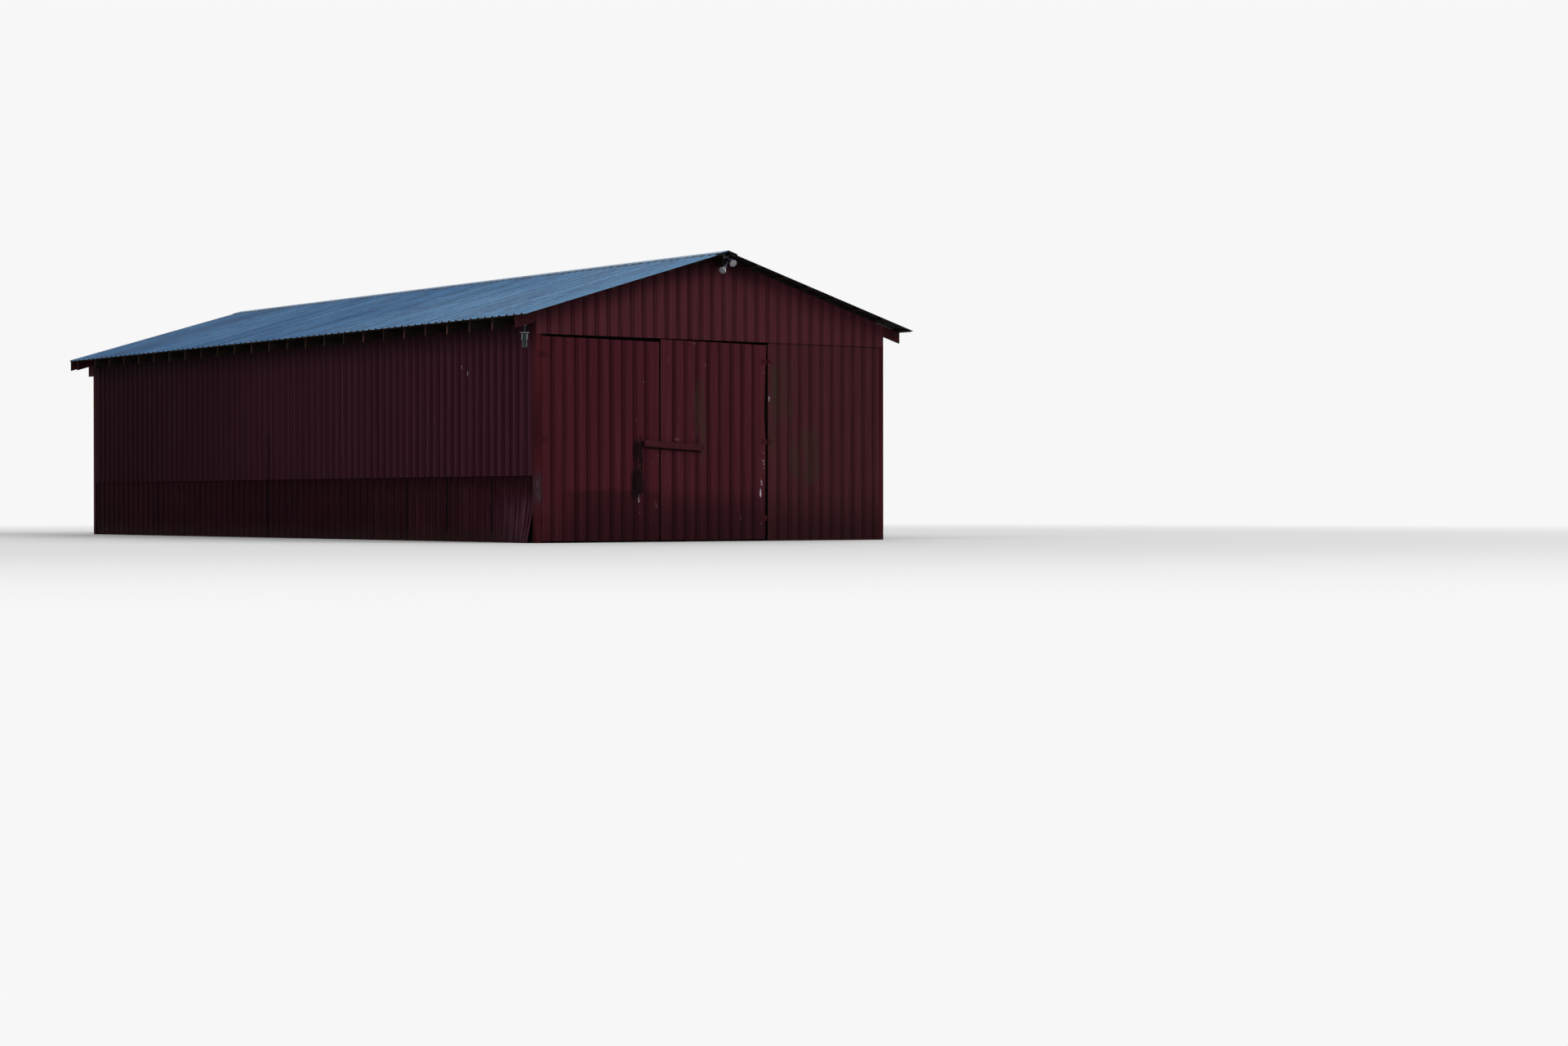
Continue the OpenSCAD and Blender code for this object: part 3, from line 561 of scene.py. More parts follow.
# %% Paint of the leaves
left_leaf_ribs, right_leaf_ribs = (-3.3405, 0.2338, 9), (-0.893, 0.239, 8)
leaf_feet = [(-0.060, 0.042, 0.012, 0.30), (-0.046, -0.020, 0.007, 0.62), (0.012, 0.034, 0.007, 0.90)]
left_tints = (srgb(54, 20, 26), srgb(73, 30, 37), srgb(87, 43, 51), red_soot_and_shade)
left_leaf_paint = painted_steel(
    "left_leaf_paint", "x", left_leaf_ribs, left_tints, leaf_feet, leaf_marks, wet=(0.96, 0.05, -3.1),
    stains=[(-1.63, 1.25, 0.095, 0.50), (-1.75, 0.98, 0.035, 0.22)],
    chips=[(-1.629, 0.724, 0.018, 0.055, 0.45), (-1.58, 0.80, 0.05, 0.05, 0.60)],
    scuffs=[(-1.526, 2.729, 0.012, 0.016, 0.2), (-1.693, 2.072, 0.011, 0.014, 0.2),
            (-1.344, 1.366, 0.009, 0.013, 0.2), (-1.227, 1.479, 0.009, 0.018, 0.2),
            (-1.612, 0.501, 0.012, 0.012, 0.2), (-1.27, 0.63, 0.045, 0.06, 0.55)])
right_tints = (srgb(57, 22, 29), srgb(76, 33, 40), srgb(90, 46, 53), red_soot_and_shade)
right_leaf_paint = painted_steel(
    "right_leaf_paint", "x", right_leaf_ribs, right_tints, leaf_feet, leaf_marks, wet=(0.85, 0.3, -5.0),
    chips=[(0.992, 1.42, 0.022, 0.20, 0.56), (0.945, 1.00, 0.020, 0.09, 0.54),
           (0.926, 0.84, 0.022, 0.09, 0.44)],
    scuffs=[(0.995, 2.955, 0.012, 0.016, 0.2), (-1.02, 3.09, 0.06, 0.12, 0.60),
            (-0.249, 3.057, 0.02, 0.04, 0.54), (-0.48, 3.42, 0.03, 0.012, 0.45),
            (-0.475, 1.88, 0.06, 0.09, 0.57), (-0.85, 1.765, 0.07, 0.03, 0.52),
            (0.50, 0.425, 0.010, 0.06, 0.45), (0.941, 0.309, 0.010, 0.014, 0.2),
            (-0.804, 2.2, 0.008, 0.010, 0.3)],
    algae=[(-0.36, 2.1, 0.16, 0.9)])

# %% [markdown]
# The long walls are cooler and more violet than the front, a painted shade, because they get less
# light. Each rib gets two wide soft stripes of painted shade and dirt here instead of fine lines, where
# the ribs shade the flats beside them. One leak has rotted a strip near the middle.

# %% Paint of the long walls
side_ribs = (-9.087, 0.247, 74)
side_feet = [(0.070, 0.200, 0.012, 0.84), (-0.200, -0.058, 0.012, 0.84)]
side_tints = (srgb(51, 22, 32), srgb(68, 34, 45), srgb(84, 50, 62), srgb(32, 6, 15))
side_paint = painted_steel(
    "side_wall_paint", "y", side_ribs, side_tints, side_feet, side_marks, side_share,
    stains=[(0.69, 1.5, 0.035, 0.42)],
    chips=[(-6.82, 3.03, 0.03, 0.05, 0.50), (-7.02, 2.90, 0.022, 0.05, 0.50)])

# %% [markdown]
# The skirt sheets below the side walls are older and stand a little further in. Dirt and a painted
# shadow lie under the edge of the upper sheets, the middle is dull, painted shade darkens them towards
# the back and lies beside each rib, and towards the bent corner the ribs are rubbed pale violet. A few
# seams have opened, and painted shade marks five seams as upright dark lines. The bent sheet has other
# ribs than the rest, so the way from the nearest rib is worked out for both and joined at the bend.

# %% Skirt paint
skirt_front, bent_length, plain_pitch = -9.162, 1.4, 0.25642
bend_end, bent_pitch = skirt_front + bent_length, bent_length / 6
skirt = Finish("skirt_paint", specular=0.01)
age = skirt.noise(1.2, (1, 1, 0.8), detail=5.0)
chalk = skirt.noise(1.0, (15, 15, 0.7), detail=3.0, rough=0.45, shift=5.0)
behind_bend = skirt.y.rise(bend_end - 0.0005, bend_end + 0.0005)
bent_way = nearest_rib(skirt.y - skirt_front, bent_pitch / 2, bent_pitch)[1]
plain_way = nearest_rib(skirt.y - bend_end, plain_pitch / 2, plain_pitch)[1]
skirt_way = bent_way * (behind_bend * -1 + 1) + plain_way * behind_bend
skirt_feet = [(0.014, 0.118, 0.014, 0.9), (-0.040, -0.026, 0.006, 0.5)]
under_lap = skirt.z + (skirt.noise(5.0, (1, 1, 0.3), shift=1.0) - 0.5) * 0.35
# a painted shadow with dirt under the edge of the upper sheets
lap_shade = under_lap.rise(0.8, 1.08) * (skirt.y.rise(4.5, 2.0) * 0.4 + 0.45)
seams = [(-7.79, 0.02), (-6.25, 0.06), (-4.80, 0.045), (0.78, 0.045), (5.97, 0.05)]
# painted shade of opened seams
seam_lines = largest([band(skirt.y, place - half, place + half, 0.025) for place, half in seams])
skirt_low = skirt.z + (skirt.noise(4.0, shift=2.0) - 0.5) * 0.4
rubbed = skirt.y.rise(-7.6, -8.7) * band(skirt.z, 0.0, 0.70, 0.16) * chalk.rise(0.34, 0.64)
# painted shade towards the back, beside the ribs, under the lap and in the seams
skirt_colour = skirt.lay(
    skirt.mix(age.rise(0.3, 0.7), srgb(36, 15, 20), srgb(54, 23, 31)),
    (chalk.rise(0.55, 0.8) * 0.35, srgb(88, 56, 68)),
    (skirt.y.rise(-8.2, 0.0) * 0.6, far_shade),
    (foot_lines(skirt_way, skirt_feet) * 0.9, red_soot_and_shade),
    (lap_shade, red_soot_and_shade),
    (seam_lines * 0.75, srgb(12, 6, 9)),
    (skirt_low.rise(0.35, 0.0) * 0.5, srgb(40, 30, 26)),
    (rubbed * 0.42, srgb(88, 54, 72)))
skirt_colour = primed_back(skirt, skirt.facing[0] * skirt.x.calc("SIGN"), skirt_colour)
skirt_paint = skirt.finish(skirt_colour, age * 0.25 + 0.5, skirt.bump(age, 0.01, 0.4))

# %% [markdown]
# The corner trims are folded strips of flat steel in a browner red. On the front left one the paint
# has worn down to grey at knee to hip height. A mask for that corner and that height does it, so that
# all four trims can share one finish.

# %% Trim paint
trim = Finish("trim_paint", specular=0.01)
trim_cloud = trim.noise(1.5, (1, 1, 0.4), detail=5.0)
trim_low = trim.z + (trim.noise(2.5, shift=2.0) - 0.5) * 0.5
trim_scuff = trim.noise(24.0, (1, 1, 0.25), detail=6.0, shift=3.0)
worn_height = trim.z + (trim_scuff - 0.5) * 0.5
worn = trim.x.rise(-3.5, -3.55) * trim.y.rise(-9.0, -9.1) * band(worn_height, 0.66, 1.12, 0.14)
trim_streak = trim.noise(1.0, (60, 60, 1.2), detail=4.0, shift=6.0)
# painted shade darkens the top of the trims under the eaves
trim_colour = trim.lay(
    trim.mix(trim_cloud.rise(0.3, 0.7), srgb(46, 15, 19), srgb(66, 25, 30)),
    (trim_low.rise(0.9, 0.0) * 0.4, soot_and_shade),
    (trim.z.rise(3.3, 3.7) * 0.6, soot_and_shade),
    (worn * trim_streak.rise(0.3, 0.6), srgb(50, 40, 46)),
    (worn * trim_scuff.rise(0.6, 0.68) * 0.7, srgb(86, 78, 82)))
trim_paint = trim.finish(trim_colour, trim_cloud * 0.2 + 0.45, trim.bump(trim_cloud, 0.004, 0.5))

# %% [markdown]
# Galvanised roof sheets turn from bright zinc to a matt grey, and the strong blue given to them here
# is a painted reflection of the sky, paler near the gable. Seen from near the ground, the slope is so
# shallow that the ribs close up to fine lines. Dark lines run along some of them, a painted shadow with
# dirt lies under the edge of the ridge cap, and there is a little rust near the gable. The sheets' lower
# ends are brown. Their undersides are dull grey inside the barn and darkened by painted shade under the
# eaves, and painted shade also darkens the ribs' front sides, the upward faces and the sheets' front
# ends. Each of these is a layer, and a dark line uses the number of its rib, so that it stays on one
# rib all the way down.

# %% Galvanised steel
roof_end, roof_pitch, sheet_ribs = 9.638, 0.24095, 4
roof_sheet = sheet_ribs * roof_pitch
zinc = Finish("galvanised_steel", 0.55, specular=0.08)
weather = zinc.noise(0.5, detail=4.0)
runs = zinc.noise(1.0, (0.3, 20, 20), detail=4.0, rough=0.6)
near_gable = zinc.y.rise(0.0, -8.5)
sheet_tone = zinc.random(zinc.y / roof_sheet + 50, 3.0)
zinc_tone = weather.rise(0.3, 0.7) * 0.4 + sheet_tone * 0.2 + near_gable * 0.85
sheet_edge = (zinc.y / roof_sheet).calc("FRACT")
rib_number, zinc_way = nearest_rib(zinc.y + roof_end, roof_pitch / 2, roof_pitch)
rib_line_strength = zinc.random(rib_number, 5.0) * 0.5 + zinc.noise(1.0, (1.6, 3.0, 1.6), detail=3.0, shift=8.0)
dark_rib_lines = band(zinc_way, -0.02, 0.04, 0.008) * rib_line_strength.rise(0.68, 0.82) * zinc.y.rise(-9.6, -8.4)
dark_rib_lines = dark_rib_lines * (zinc.x.rise(0.2, -0.2) * 0.4 + 0.45)
rust = zinc.noise(1.0, (0.6, 7, 7), detail=6.0, shift=6.0).rise(0.6, 0.7) * near_gable
from_ridge = zinc.x.calc("ABSOLUTE")
# a painted shadow with dirt under the edge of the ridge cap
cap_shadow_and_dirt = zinc.noise(1.0, (0.6, 2.2, 0), detail=3.0, shift=9.0).rise(0.38, 0.60)
cap_shadow_and_dirt = band(from_ridge, 0.160, 0.225, 0.03) * cap_shadow_and_dirt
lower_end = (from_ridge + zinc.noise(3.0, (0, 3, 0), shift=1.0) * 0.04).rise(4.09, 4.105)
# painted shade for the underside outside the walls
shade_side = zinc.mix(zinc.noise(2.0, detail=4.0), srgb(12, 8, 9), srgb(22, 15, 16))
underside = zinc.mix(beyond_walls(zinc), zinc.mix(weather, srgb(70, 72, 76), srgb(104, 106, 110)), shade_side)
# the blue is a painted reflection of the sky; painted shade darkens faces by their direction
zinc_colour = zinc.lay(
    zinc.mix(zinc_tone, srgb(42, 91, 134), srgb(97, 136, 170)),
    (zinc.facing[1].rise(-0.3, -0.6) * 0.15, srgb(44, 84, 130)),
    (zinc.facing[2].rise(0.85, 0.93) * 0.28, srgb(46, 80, 116)),
    (zinc.facing[1].rise(-0.95, -0.99) * 0.8, srgb(24, 28, 36)),
    (band(sheet_edge, 0.002, 0.008, 0.002) * 0.6, srgb(40, 48, 60)),
    (runs.rise(0.5, 0.68) * 0.4, srgb(40, 72, 114)),
    (dark_rib_lines, zinc.mix(runs.rise(0.4, 0.6), srgb(22, 31, 48), srgb(44, 47, 60))),
    (rust * 0.3, srgb(74, 76, 88)),
    (cap_shadow_and_dirt * 0.8, srgb(26, 38, 56)),
    (lower_end * 0.8, srgb(84, 62, 54)),
    (zinc.facing[2].rise(0.15, -0.15), underside))
zinc_dents = zinc.bump(zinc.noise(2.0, (0.6, 2, 1), detail=1.0), 0.012, 0.4)
roof_steel = zinc.finish(zinc_colour, weather * 0.15 + 0.45, zinc_dents)

# %% [markdown]
# The frame is sawn softwood gone grey-brown. Its grain runs along each board, and the boards of one
# node run one way, so one finish for each direction is enough. Where rafters, purlins and girts reach
# the outside, painted shade makes them nearly black, and near the front the frame's tops and feet get
# the same painted shade. The rafters' cut ends are paler, partly weathered and partly a painted light,
# with a painted shadow of the roof's edge over their tops and painted shade towards the back. The
# frames of the leaves and the jamb are given darker colours than the posts as painted shade, so that
# the gaps round the doors stay dark. The boards that show from outside once had the same red paint as
# the walls.

# %% Sawn timber
tail_step, wood_in_shade = 0.763, srgb(11, 7, 7)


def sawn_timber(name, along, dark, light, paint=None, cut_end=None, eave_shaded=False):
    wood = Finish(name, 0.75, specular=0.03)
    stretch = [26.0, 26.0, 26.0]
    stretch[along] = 0.9
    grain = wood.noise(1.0, tuple(stretch), detail=6.0, rough=0.65)
    fibre = wood.noise(3.0, tuple(stretch), detail=3.0, shift=2.0)
    board = wood.noise(0.35, detail=1.0, shift=5.0)
    knots = wood.noise(2.6, (2, 2, 2), detail=0.0, shift=7.0).rise(0.74, 0.8)
    colour = wood.mix(grain.rise(0.3, 0.7) * 0.7 + board * 0.3, dark, light)
    colour = wood.mix(knots * 0.6, colour, tuple(v * 0.35 for v in dark))
    if paint is not None:
        cover = (grain * 0.4 + fibre * 0.6).rise(0.34, 0.46)
        patches = board * 0.4 + wood.noise(5.0, detail=3.0, shift=9.0).rise(0.5, 0.66) * 0.6
        colour = wood.mix(cover * 0.94, colour, wood.mix(patches, paint, tuple(v * 1.7 for v in paint)))
    else:
        # painted shade: at the tops and feet near the front, or outside the walls under the eaves
        gap_shade = largest([wood.z.rise(3.36, 3.42), wood.z.rise(0.12, 0.05)]) * wood.y.rise(-8.8, -9.1)
        if eave_shaded:
            gap_shade = beyond_walls(wood)
        colour = wood.mix(gap_shade * 0.88, colour, wood_in_shade)
    if cut_end is not None:
        # paler cut ends: weathering and a painted light, with a painted shadow of the roof's edge over their
        # tops and painted shade towards the back
        across = wood.facing[along].calc("ABSOLUTE").rise(0.7, 0.95) * wood.z.rise(3.71, 3.66)
        paler_and_lit = wood.random(wood.y / tail_step + 20.25, 4.0) * (wood.y.rise(7.0, -5.0) * 0.8 + 0.2)
        colour = wood.mix(across * paler_and_lit * (fibre * 0.6 + 0.4), colour, cut_end)
    return wood.finish(colour, grain * 0.2 + 0.7, wood.bump(grain * 0.6 + fibre * 0.4, 0.003, 0.8))


wood_dark, wood_light = srgb(58, 49, 42), srgb(104, 91, 77)
shade_dark, red_dark = srgb(16, 11, 11), srgb(47, 19, 23)
timber = [sawn_timber(f"sawn_timber_{'xyz'[i]}", i, wood_dark, wood_light) for i in range(3)]
eave_timber = sawn_timber("eave_timber", 0, wood_dark, wood_light, cut_end=srgb(96, 64, 60), eave_shaded=True)
purlin_timber = sawn_timber("purlin_timber", 1, wood_dark, wood_light, eave_shaded=True)
# the leaves' frame and the jamb get darker colours as painted shade, so that the gaps round the doors stay
# dark
leaf_timber = sawn_timber("leaf_timber", 2, srgb(34, 27, 23), srgb(66, 56, 48))
jamb_timber = sawn_timber("jamb_timber", 2, srgb(10, 7, 7), srgb(18, 12, 12))
red_timber = [sawn_timber(f"red_timber_{'xyz'[i]}", i, shade_dark, wood_dark, red_dark) for i in range(2)]
bar_timber = sawn_timber("bar_timber", 0, shade_dark, wood_dark, srgb(56, 22, 28))

# %% [markdown]
# The lights are small, but they are the only bright things on the front. The flood lamps are pressed
# glass with a silvered inside, in cast holders, and their rims carry a painted highlight on the side
# that faces the light. All their metals are one mottled finish in different tints, as cast and painted
# metal is.

# %% Lamp finishes


def mottled(name, dark, light, roughness, metallic=0.0, specular=0.4):
    metal = Finish(name, roughness, metallic, specular)
    cloud = metal.noise(30.0, detail=5.0)
    colour = metal.mix(cloud.rise(0.35, 0.7), dark, light)
    return metal.finish(colour, cloud * 0.2 + roughness - 0.1, metal.bump(metal.noise(160.0), 0.0005, 0.5))


cast_metal = mottled("cast_metal", srgb(44, 41, 50), srgb(70, 66, 80), 0.5)
sleeve_grey = mottled("sleeve_grey", srgb(58, 54, 76), srgb(92, 86, 112), 0.5)
enamel = mottled("grey_enamel", srgb(90, 88, 94), srgb(140, 136, 142), 0.5)
dark_metal = mottled("dark_metal", srgb(24, 20, 24), srgb(44, 38, 44), 0.6)
hinge_paint = mottled("hinge_paint", srgb(50, 19, 24), srgb(64, 26, 32), 0.6, specular=0.01)
bolt_steel = mottled("bolt_steel", srgb(42, 22, 24), srgb(74, 52, 52), 0.5, specular=0.1)
silvered = mottled("silvered_glass", srgb(110, 108, 116), srgb(160, 158, 166), 0.25)
rim = Finish("bright_rim", 0.3)
# a painted highlight on the side of the rims that faces +x
rim_light = rim.mix(rim.facing[0].rise(-0.2, 0.6), srgb(122, 120, 126), srgb(232, 232, 236))
rim_grain = rim.bump(rim.noise(160.0), 0.0005, 0.5)
bright_rim = rim.finish(rim_light, rim.noise(30.0, detail=5.0) * 0.2 + 0.2, rim_grain)

# %% [markdown]
# A flood lamp's lens is pressed in small bumps, with darker glass between pale ones. The lantern's
# glass is dark in the middle, where one looks through it, and paler down its sides, where a painted
# reflection lies mixed with dust. The same noise sets the lens's colour and its relief, because two
# noises would not fit each other.

# %% Lens and lantern glass
lens = Finish("pressed_lens", 0.2)
lens_bumps = lens.noise(95.0, detail=2.0)
lens_colour = lens.mix(lens_bumps.rise(0.35, 0.65), srgb(84, 84, 90), srgb(158, 157, 162))
lens_glass = lens.finish(lens_colour, None, lens.bump(lens_bumps, 0.002, 0.6))
jar = Finish("dusty_sheened_glass", 0.25, specular=0.1)
jar_x, jar_y, jar_radius, jar_across = -3.8695, -9.261, 0.05, (0.807, -0.590)
# a painted reflection with dust, paler towards the sides of the jar across one fixed direction
jar_side = ((jar.x - jar_x) * jar_across[0] + (jar.y - jar_y) * jar_across[1]) / jar_radius
jar_dust_and_sheen = jar_side.calc("ABSOLUTE").rise(0.4, 0.95) * (jar.noise(1.0, (70, 70, 14), detail=4.0) * 0.8 + 0.5)
jar_colour = jar.mix(jar_dust_and_sheen, srgb(24, 38, 39), srgb(118, 120, 126))
dust_and_sheen_glass = jar.finish(jar_colour, None, jar.bump(jar.noise(1.0, (160, 160, 2)), 0.002, 0.5))

# %% [markdown]
# Each node takes the finish of what it is made of. A list of pairs keeps that in one place, and the
# count at the end shows that none was missed.

# %% Dress the frame
dressing = {
    end_paint: ["front_bay_sheets", "front_gable_sheets", "back_wall_sheets", "back_gable_sheets"],
    left_leaf_paint: ["left_leaf_sheets"],
    right_leaf_paint: ["right_leaf_sheets"],
    side_paint: ["left_upper_sheets", "right_upper_sheets"],
    skirt_paint: ["left_skirt_sheets", "bent_skirt_sheet", "right_skirt_sheets"],
    trim_paint: ["corner_trims"],
    roof_steel: ["left_roof_sheets", "right_roof_sheets", "ridge_cap"],
    timber[0]: ["cross_ties", "back_girts"],
    timber[1]: ["wall_plates"],
    timber[2]: ["left_posts", "right_posts", "back_posts", "gable_studs"],
    eave_timber: ["left_rafters", "right_rafters"],
    purlin_timber: ["left_purlins", "right_purlins", "ridge_board", "left_girts", "right_girts"],
    leaf_timber: ["left_leaf_frame", "right_leaf_frame"],
    jamb_timber: ["door_jamb_post", "front_girts"],
    red_timber[0]: ["front_end_rafters", "back_end_rafters", "back_fly_rafters"],
    bar_timber: ["door_bar"],
    red_timber[1]: ["side_headers"],
    hinge_paint: ["jamb_hinge_flaps", "left_leaf_flaps", "right_leaf_flaps"],
    cast_metal: ["flood_light_arms"],
    silvered: ["flood_lamps"],
    dark_metal: ["lantern_fitting"],
    dust_and_sheen_glass: ["lantern_glass"],
}
dressed = set()
for finish, names in dressing.items():
    for name in names:
        node = nodes[name]
        node.data.materials.clear()
        node.data.materials.append(finish)
        dressed.add(name)
print("dressed", len(dressed), "left", sorted(set(nodes) - dressed))

# %% [markdown]
# A steel sheet is held by hundreds of screws, each with a washer under its hex head. They are too
# many to place by hand and too small for the solid model, so one screw is shaped once and repeated
# as a single mesh for each moving body. Their places follow the girts and the purlins behind the
# sheets, because that is what a screw has to bite into.

# %% Screw shape
rng = np.random.default_rng(7263)
head_lines = [(0.0085, 0.0), (0.0085, 0.0012), (0.0048, 0.0018), (0.0046, 0.0052), (0.0036, 0.0060)]
head_sides = 6


def screw_shape():
    """Rings of points from the washer up to the head's top, and the faces between them."""
    points, faces = [], []
    for radius, height in head_lines:
        for i in range(head_sides):
            angle = 2 * math.pi * i / head_sides
            points.append((radius * math.cos(angle), radius * math.sin(angle), height))
    for row in range(len(head_lines) - 1):
        for i in range(head_sides):
            a, b = row * head_sides + i, row * head_sides + (i + 1) % head_sides
            faces.append((a, b, b + head_sides, a + head_sides))
    faces.append(tuple(range(len(points) - head_sides, len(points))))
    faces.append(tuple(range(head_sides - 1, -1, -1)))
    return np.array(points), faces


screw_points, screw_faces = screw_shape()
print("a screw has", len(screw_faces), "faces")

# %% [markdown]
# Every piece that is added here is a list of points and faces, written in the barn's own frame. It has
# to say which body it rides on, so that a screw on a leaf swings with that leaf. Each screw gets its own
# small turn, because nobody drives them all alike.

# %% Pieces and screws


def mesh_piece(name, points, faces, finish, body, slot):
    """A new piece from points and faces in the barn's frame, which rides on a body."""
    mesh = bpy.data.meshes.new(name)
    mesh.from_pydata([tuple(p) for p in points], [], faces)
    mesh.update()
    mesh.materials.append(finish)
    piece = bpy.data.objects.new(name, mesh)
    bpy.context.scene.collection.objects.link(piece)
    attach(piece, body)
    return piece


def place_screws(name, places, finish, body, slot, size=1.0):
    """Repeats the screw at each (point, outward direction), each with its own turn about its axis."""
    points, faces = [], []
    for place, outward in places:
        out = Vector(outward).normalized()
        turn = out.to_track_quat("Z", "Y").to_matrix() @ Matrix.Rotation(rng.uniform(0, 1.05), 3, "Z")
        start = len(points)
        points.extend(np.array(place) + size * screw_points @ np.array(turn).T)
        faces.extend(tuple(start + i for i in face) for face in screw_faces)
    print(name, len(places), "screws")
    return mesh_piece(name, points, faces, finish, body, slot)


# %% [markdown]
# The walls' screws sit in the flat beside each rib, halfway up each girt. The heights are the girts'
# own, and the upright sheets of the four walls are all reached by one rule: a wall is a line to walk
# along, a direction to look out, and a depth for its flats.

# %% Wall screws
half_w, half_l, sheet_t, rib_h, roof_peak = 3.6575, 9.28, 0.003, 0.020, 4.9732
low_rows, upper_rows, eave_row = [0.09, 0.743], [1.235, 1.822, 2.408, 2.995], 3.62
gable_rows, leaf_rows = [3.53, 4.105, 4.445], [0.10, 1.20, 2.28, 3.35]
off_rib, off_roof, off_door = 0.05, 0.08, 0.02


def under_roof(x):
    return roof_peak - roof_fall * abs(x)


def rib_places(first, pitch, count):
    return [first + pitch * k for k in range(count)]


def end_wall_places(direction):
    """Screws of an end wall; direction is -1 for the front and 1 for the back."""
    found = []
    for rib in rib_places(*end_ribs):
        x = (rib + off_rib) * -direction
        rows = [z for z in gable_rows if z < under_roof(x) - off_roof]
        if direction > 0 or x > door_right + off_door:
            rows = low_rows + upper_rows + rows
        for z in rows:
            depth = 2 * sheet_t if z > gable_foot else sheet_t
            found.append(((x, direction * (half_l + depth), z), (0, direction, 0)))
    return found


def side_wall_places(direction):
    """Screws of a long wall; direction is -1 for the left and 1 for the right."""
    return [((direction * (half_w + sheet_t), rib + off_rib, z), (direction, 0, 0))
            for rib in rib_places(*side_ribs) for z in upper_rows + [eave_row]]


def leaf_places(first, pitch, count):
    return [((rib + off_rib, -half_l - sheet_t, z), (0, -1, 0))
            for rib in rib_places(first, pitch, count - 1) for z in leaf_rows]


wall_places = end_wall_places(-1) + end_wall_places(1) + side_wall_places(-1) + side_wall_places(1)
place_screws("wall_screws", wall_places, side_paint, "barn", "red_steel")
place_screws("left_leaf_screws", leaf_places(*left_leaf_ribs), left_leaf_paint, "left_leaf", "red_steel")
place_screws("right_leaf_screws", leaf_places(*right_leaf_ribs), right_leaf_paint, "right_leaf", "red_steel")

# %% [markdown]
# On the roof a screw goes through the crest of a rib, where no water stands. The purlins below run
# along the barn at even steps down the slope, so each place is a step along the slope, a step along
# the barn, and the height of a crest square to the slope.

# %% Roof screws
slope_angle, eave_run, purlin_t = math.atan(roof_fall), half_w + 0.386, 0.025
crest = purlin_t + sheet_t + rib_h
first_purlin, purlin_width, purlins, roof_ribs = 0.060, 0.100, 8, 80
purlin_step = (eave_run / math.cos(slope_angle) - purlin_width - first_purlin) / (purlins - 1)
rust_tint = mottled("rusty_screw", srgb(54, 74, 98), srgb(94, 98, 108), 0.6, 0.2)


def slope_ways(side):
    """The way down a slope and the way square to it; side is -1 for the left and 1 for the right."""
    cosine, sine = math.cos(slope_angle), math.sin(slope_angle)
    return Vector((side * cosine, 0, -sine)), Vector((side * sine, 0, cosine))


roof_places = []
for side in (-1, 1):
    down, square = slope_ways(side)
    for row in range(1, purlins):
        along_slope = first_purlin + row * purlin_step + purlin_width / 2
        for k in range(roof_ribs):
            on_ridge = Vector((0, roof_pitch * (k + 0.5) - roof_end, roof_peak))
            roof_places.append((on_ridge + down * along_slope + square * crest, square))
place_screws("roof_screws", roof_places, rust_tint, "barn", "roof_steel")

# %% [markdown]
# Smaller groups of fixings follow the same rule. The skirt has its own rows of screws, one on each
# flat, and the bent sheet one row of its own higher up. The ridge cap has one on every second rib,
# down both of its edges.

# %% Skirt and ridge cap screws
skirt_inset, before_rib, plain_flats, bent_flats, bent_row = 0.025, 0.08, 66, 5, 0.86
skirt_face = half_w - skirt_inset + sheet_t
skirt_flats = [bend_end + plain_pitch * (k + 1) - before_rib for k in range(plain_flats)]
skirt_places = [((side * skirt_face, y, z), (side, 0, 0))
                for side in (-1, 1) for y in skirt_flats for z in low_rows]
for k in range(bent_flats):
    skirt_places.append(((-skirt_face, skirt_front + bent_pitch * (k + 1), bent_row), (-1, 0, 0)))
place_screws("skirt_screws", skirt_places, skirt_paint, "barn", "skirt_steel")
cap_run, cap_face = 0.150, (crest + sheet_t) / math.cos(slope_angle) + 0.0003
cap_places = []
for side in (-1, 1):
    for k in range(0, roof_ribs, 2):
        place = (side * cap_run, roof_pitch * (k + 0.5) - roof_end, under_roof(cap_run) + cap_face)
        cap_places.append((place, slope_ways(side)[1]))
place_screws("ridge_cap_screws", cap_places, rust_tint, "barn", "roof_steel")

# %% [markdown]
# Each hinge flap has a few short screws. Two coach bolts hold the bar to the right leaf, each through
# a rib, and pairs of bolts hold the ties to the posts inside. A bolt is the same shape as a screw at
# another size, which saves a second shape that nobody could tell apart.

# %% Hinge screws, bar bolts and tie bolts
left_pin, right_pin, hinge_heights, screw_up = -3.5615, 1.078, (0.400, 1.744, 3.150), 0.028
on_trim, on_sheet, jamb_reach, flap_reach = -half_l - 0.010, -half_l - 0.007, 0.041, (0.035, 0.075, 0.115)
short_screw, coach_bolt = 0.6, 1.8


def flap_places(xs, y):
    return [((x, y, z + up), (0, -1, 0)) for x in xs for z in hinge_heights for up in (-screw_up, screw_up)]


jamb_places = flap_places([left_pin - jamb_reach], on_trim) + flap_places([right_pin + jamb_reach], on_sheet)
place_screws("jamb_hinge_screws", jamb_places, hinge_paint, "barn", "hinge_steel", short_screw)
for name, pin, way in (("left_leaf", left_pin, 1), ("right_leaf", right_pin, -1)):
    places = flap_places([pin + way * reach for reach in flap_reach], on_sheet)
    place_screws(f"{name}_hinge_screws", places, hinge_paint, name, "hinge_steel", short_screw)
bar_face, bar_ribs = -half_l - 0.067, rib_places(*right_leaf_ribs)[0:3:2]
bar_places = [((x, bar_face, bar_height - (x - bar_x) * bar_fall), (0, -1, 0)) for x in bar_ribs]
place_screws("bar_bolts", bar_places, bolt_steel, "right_leaf", "red_timber", coach_bolt)
posts_a_side, post_middle, post_gap = 8, 9.172, 2.6206
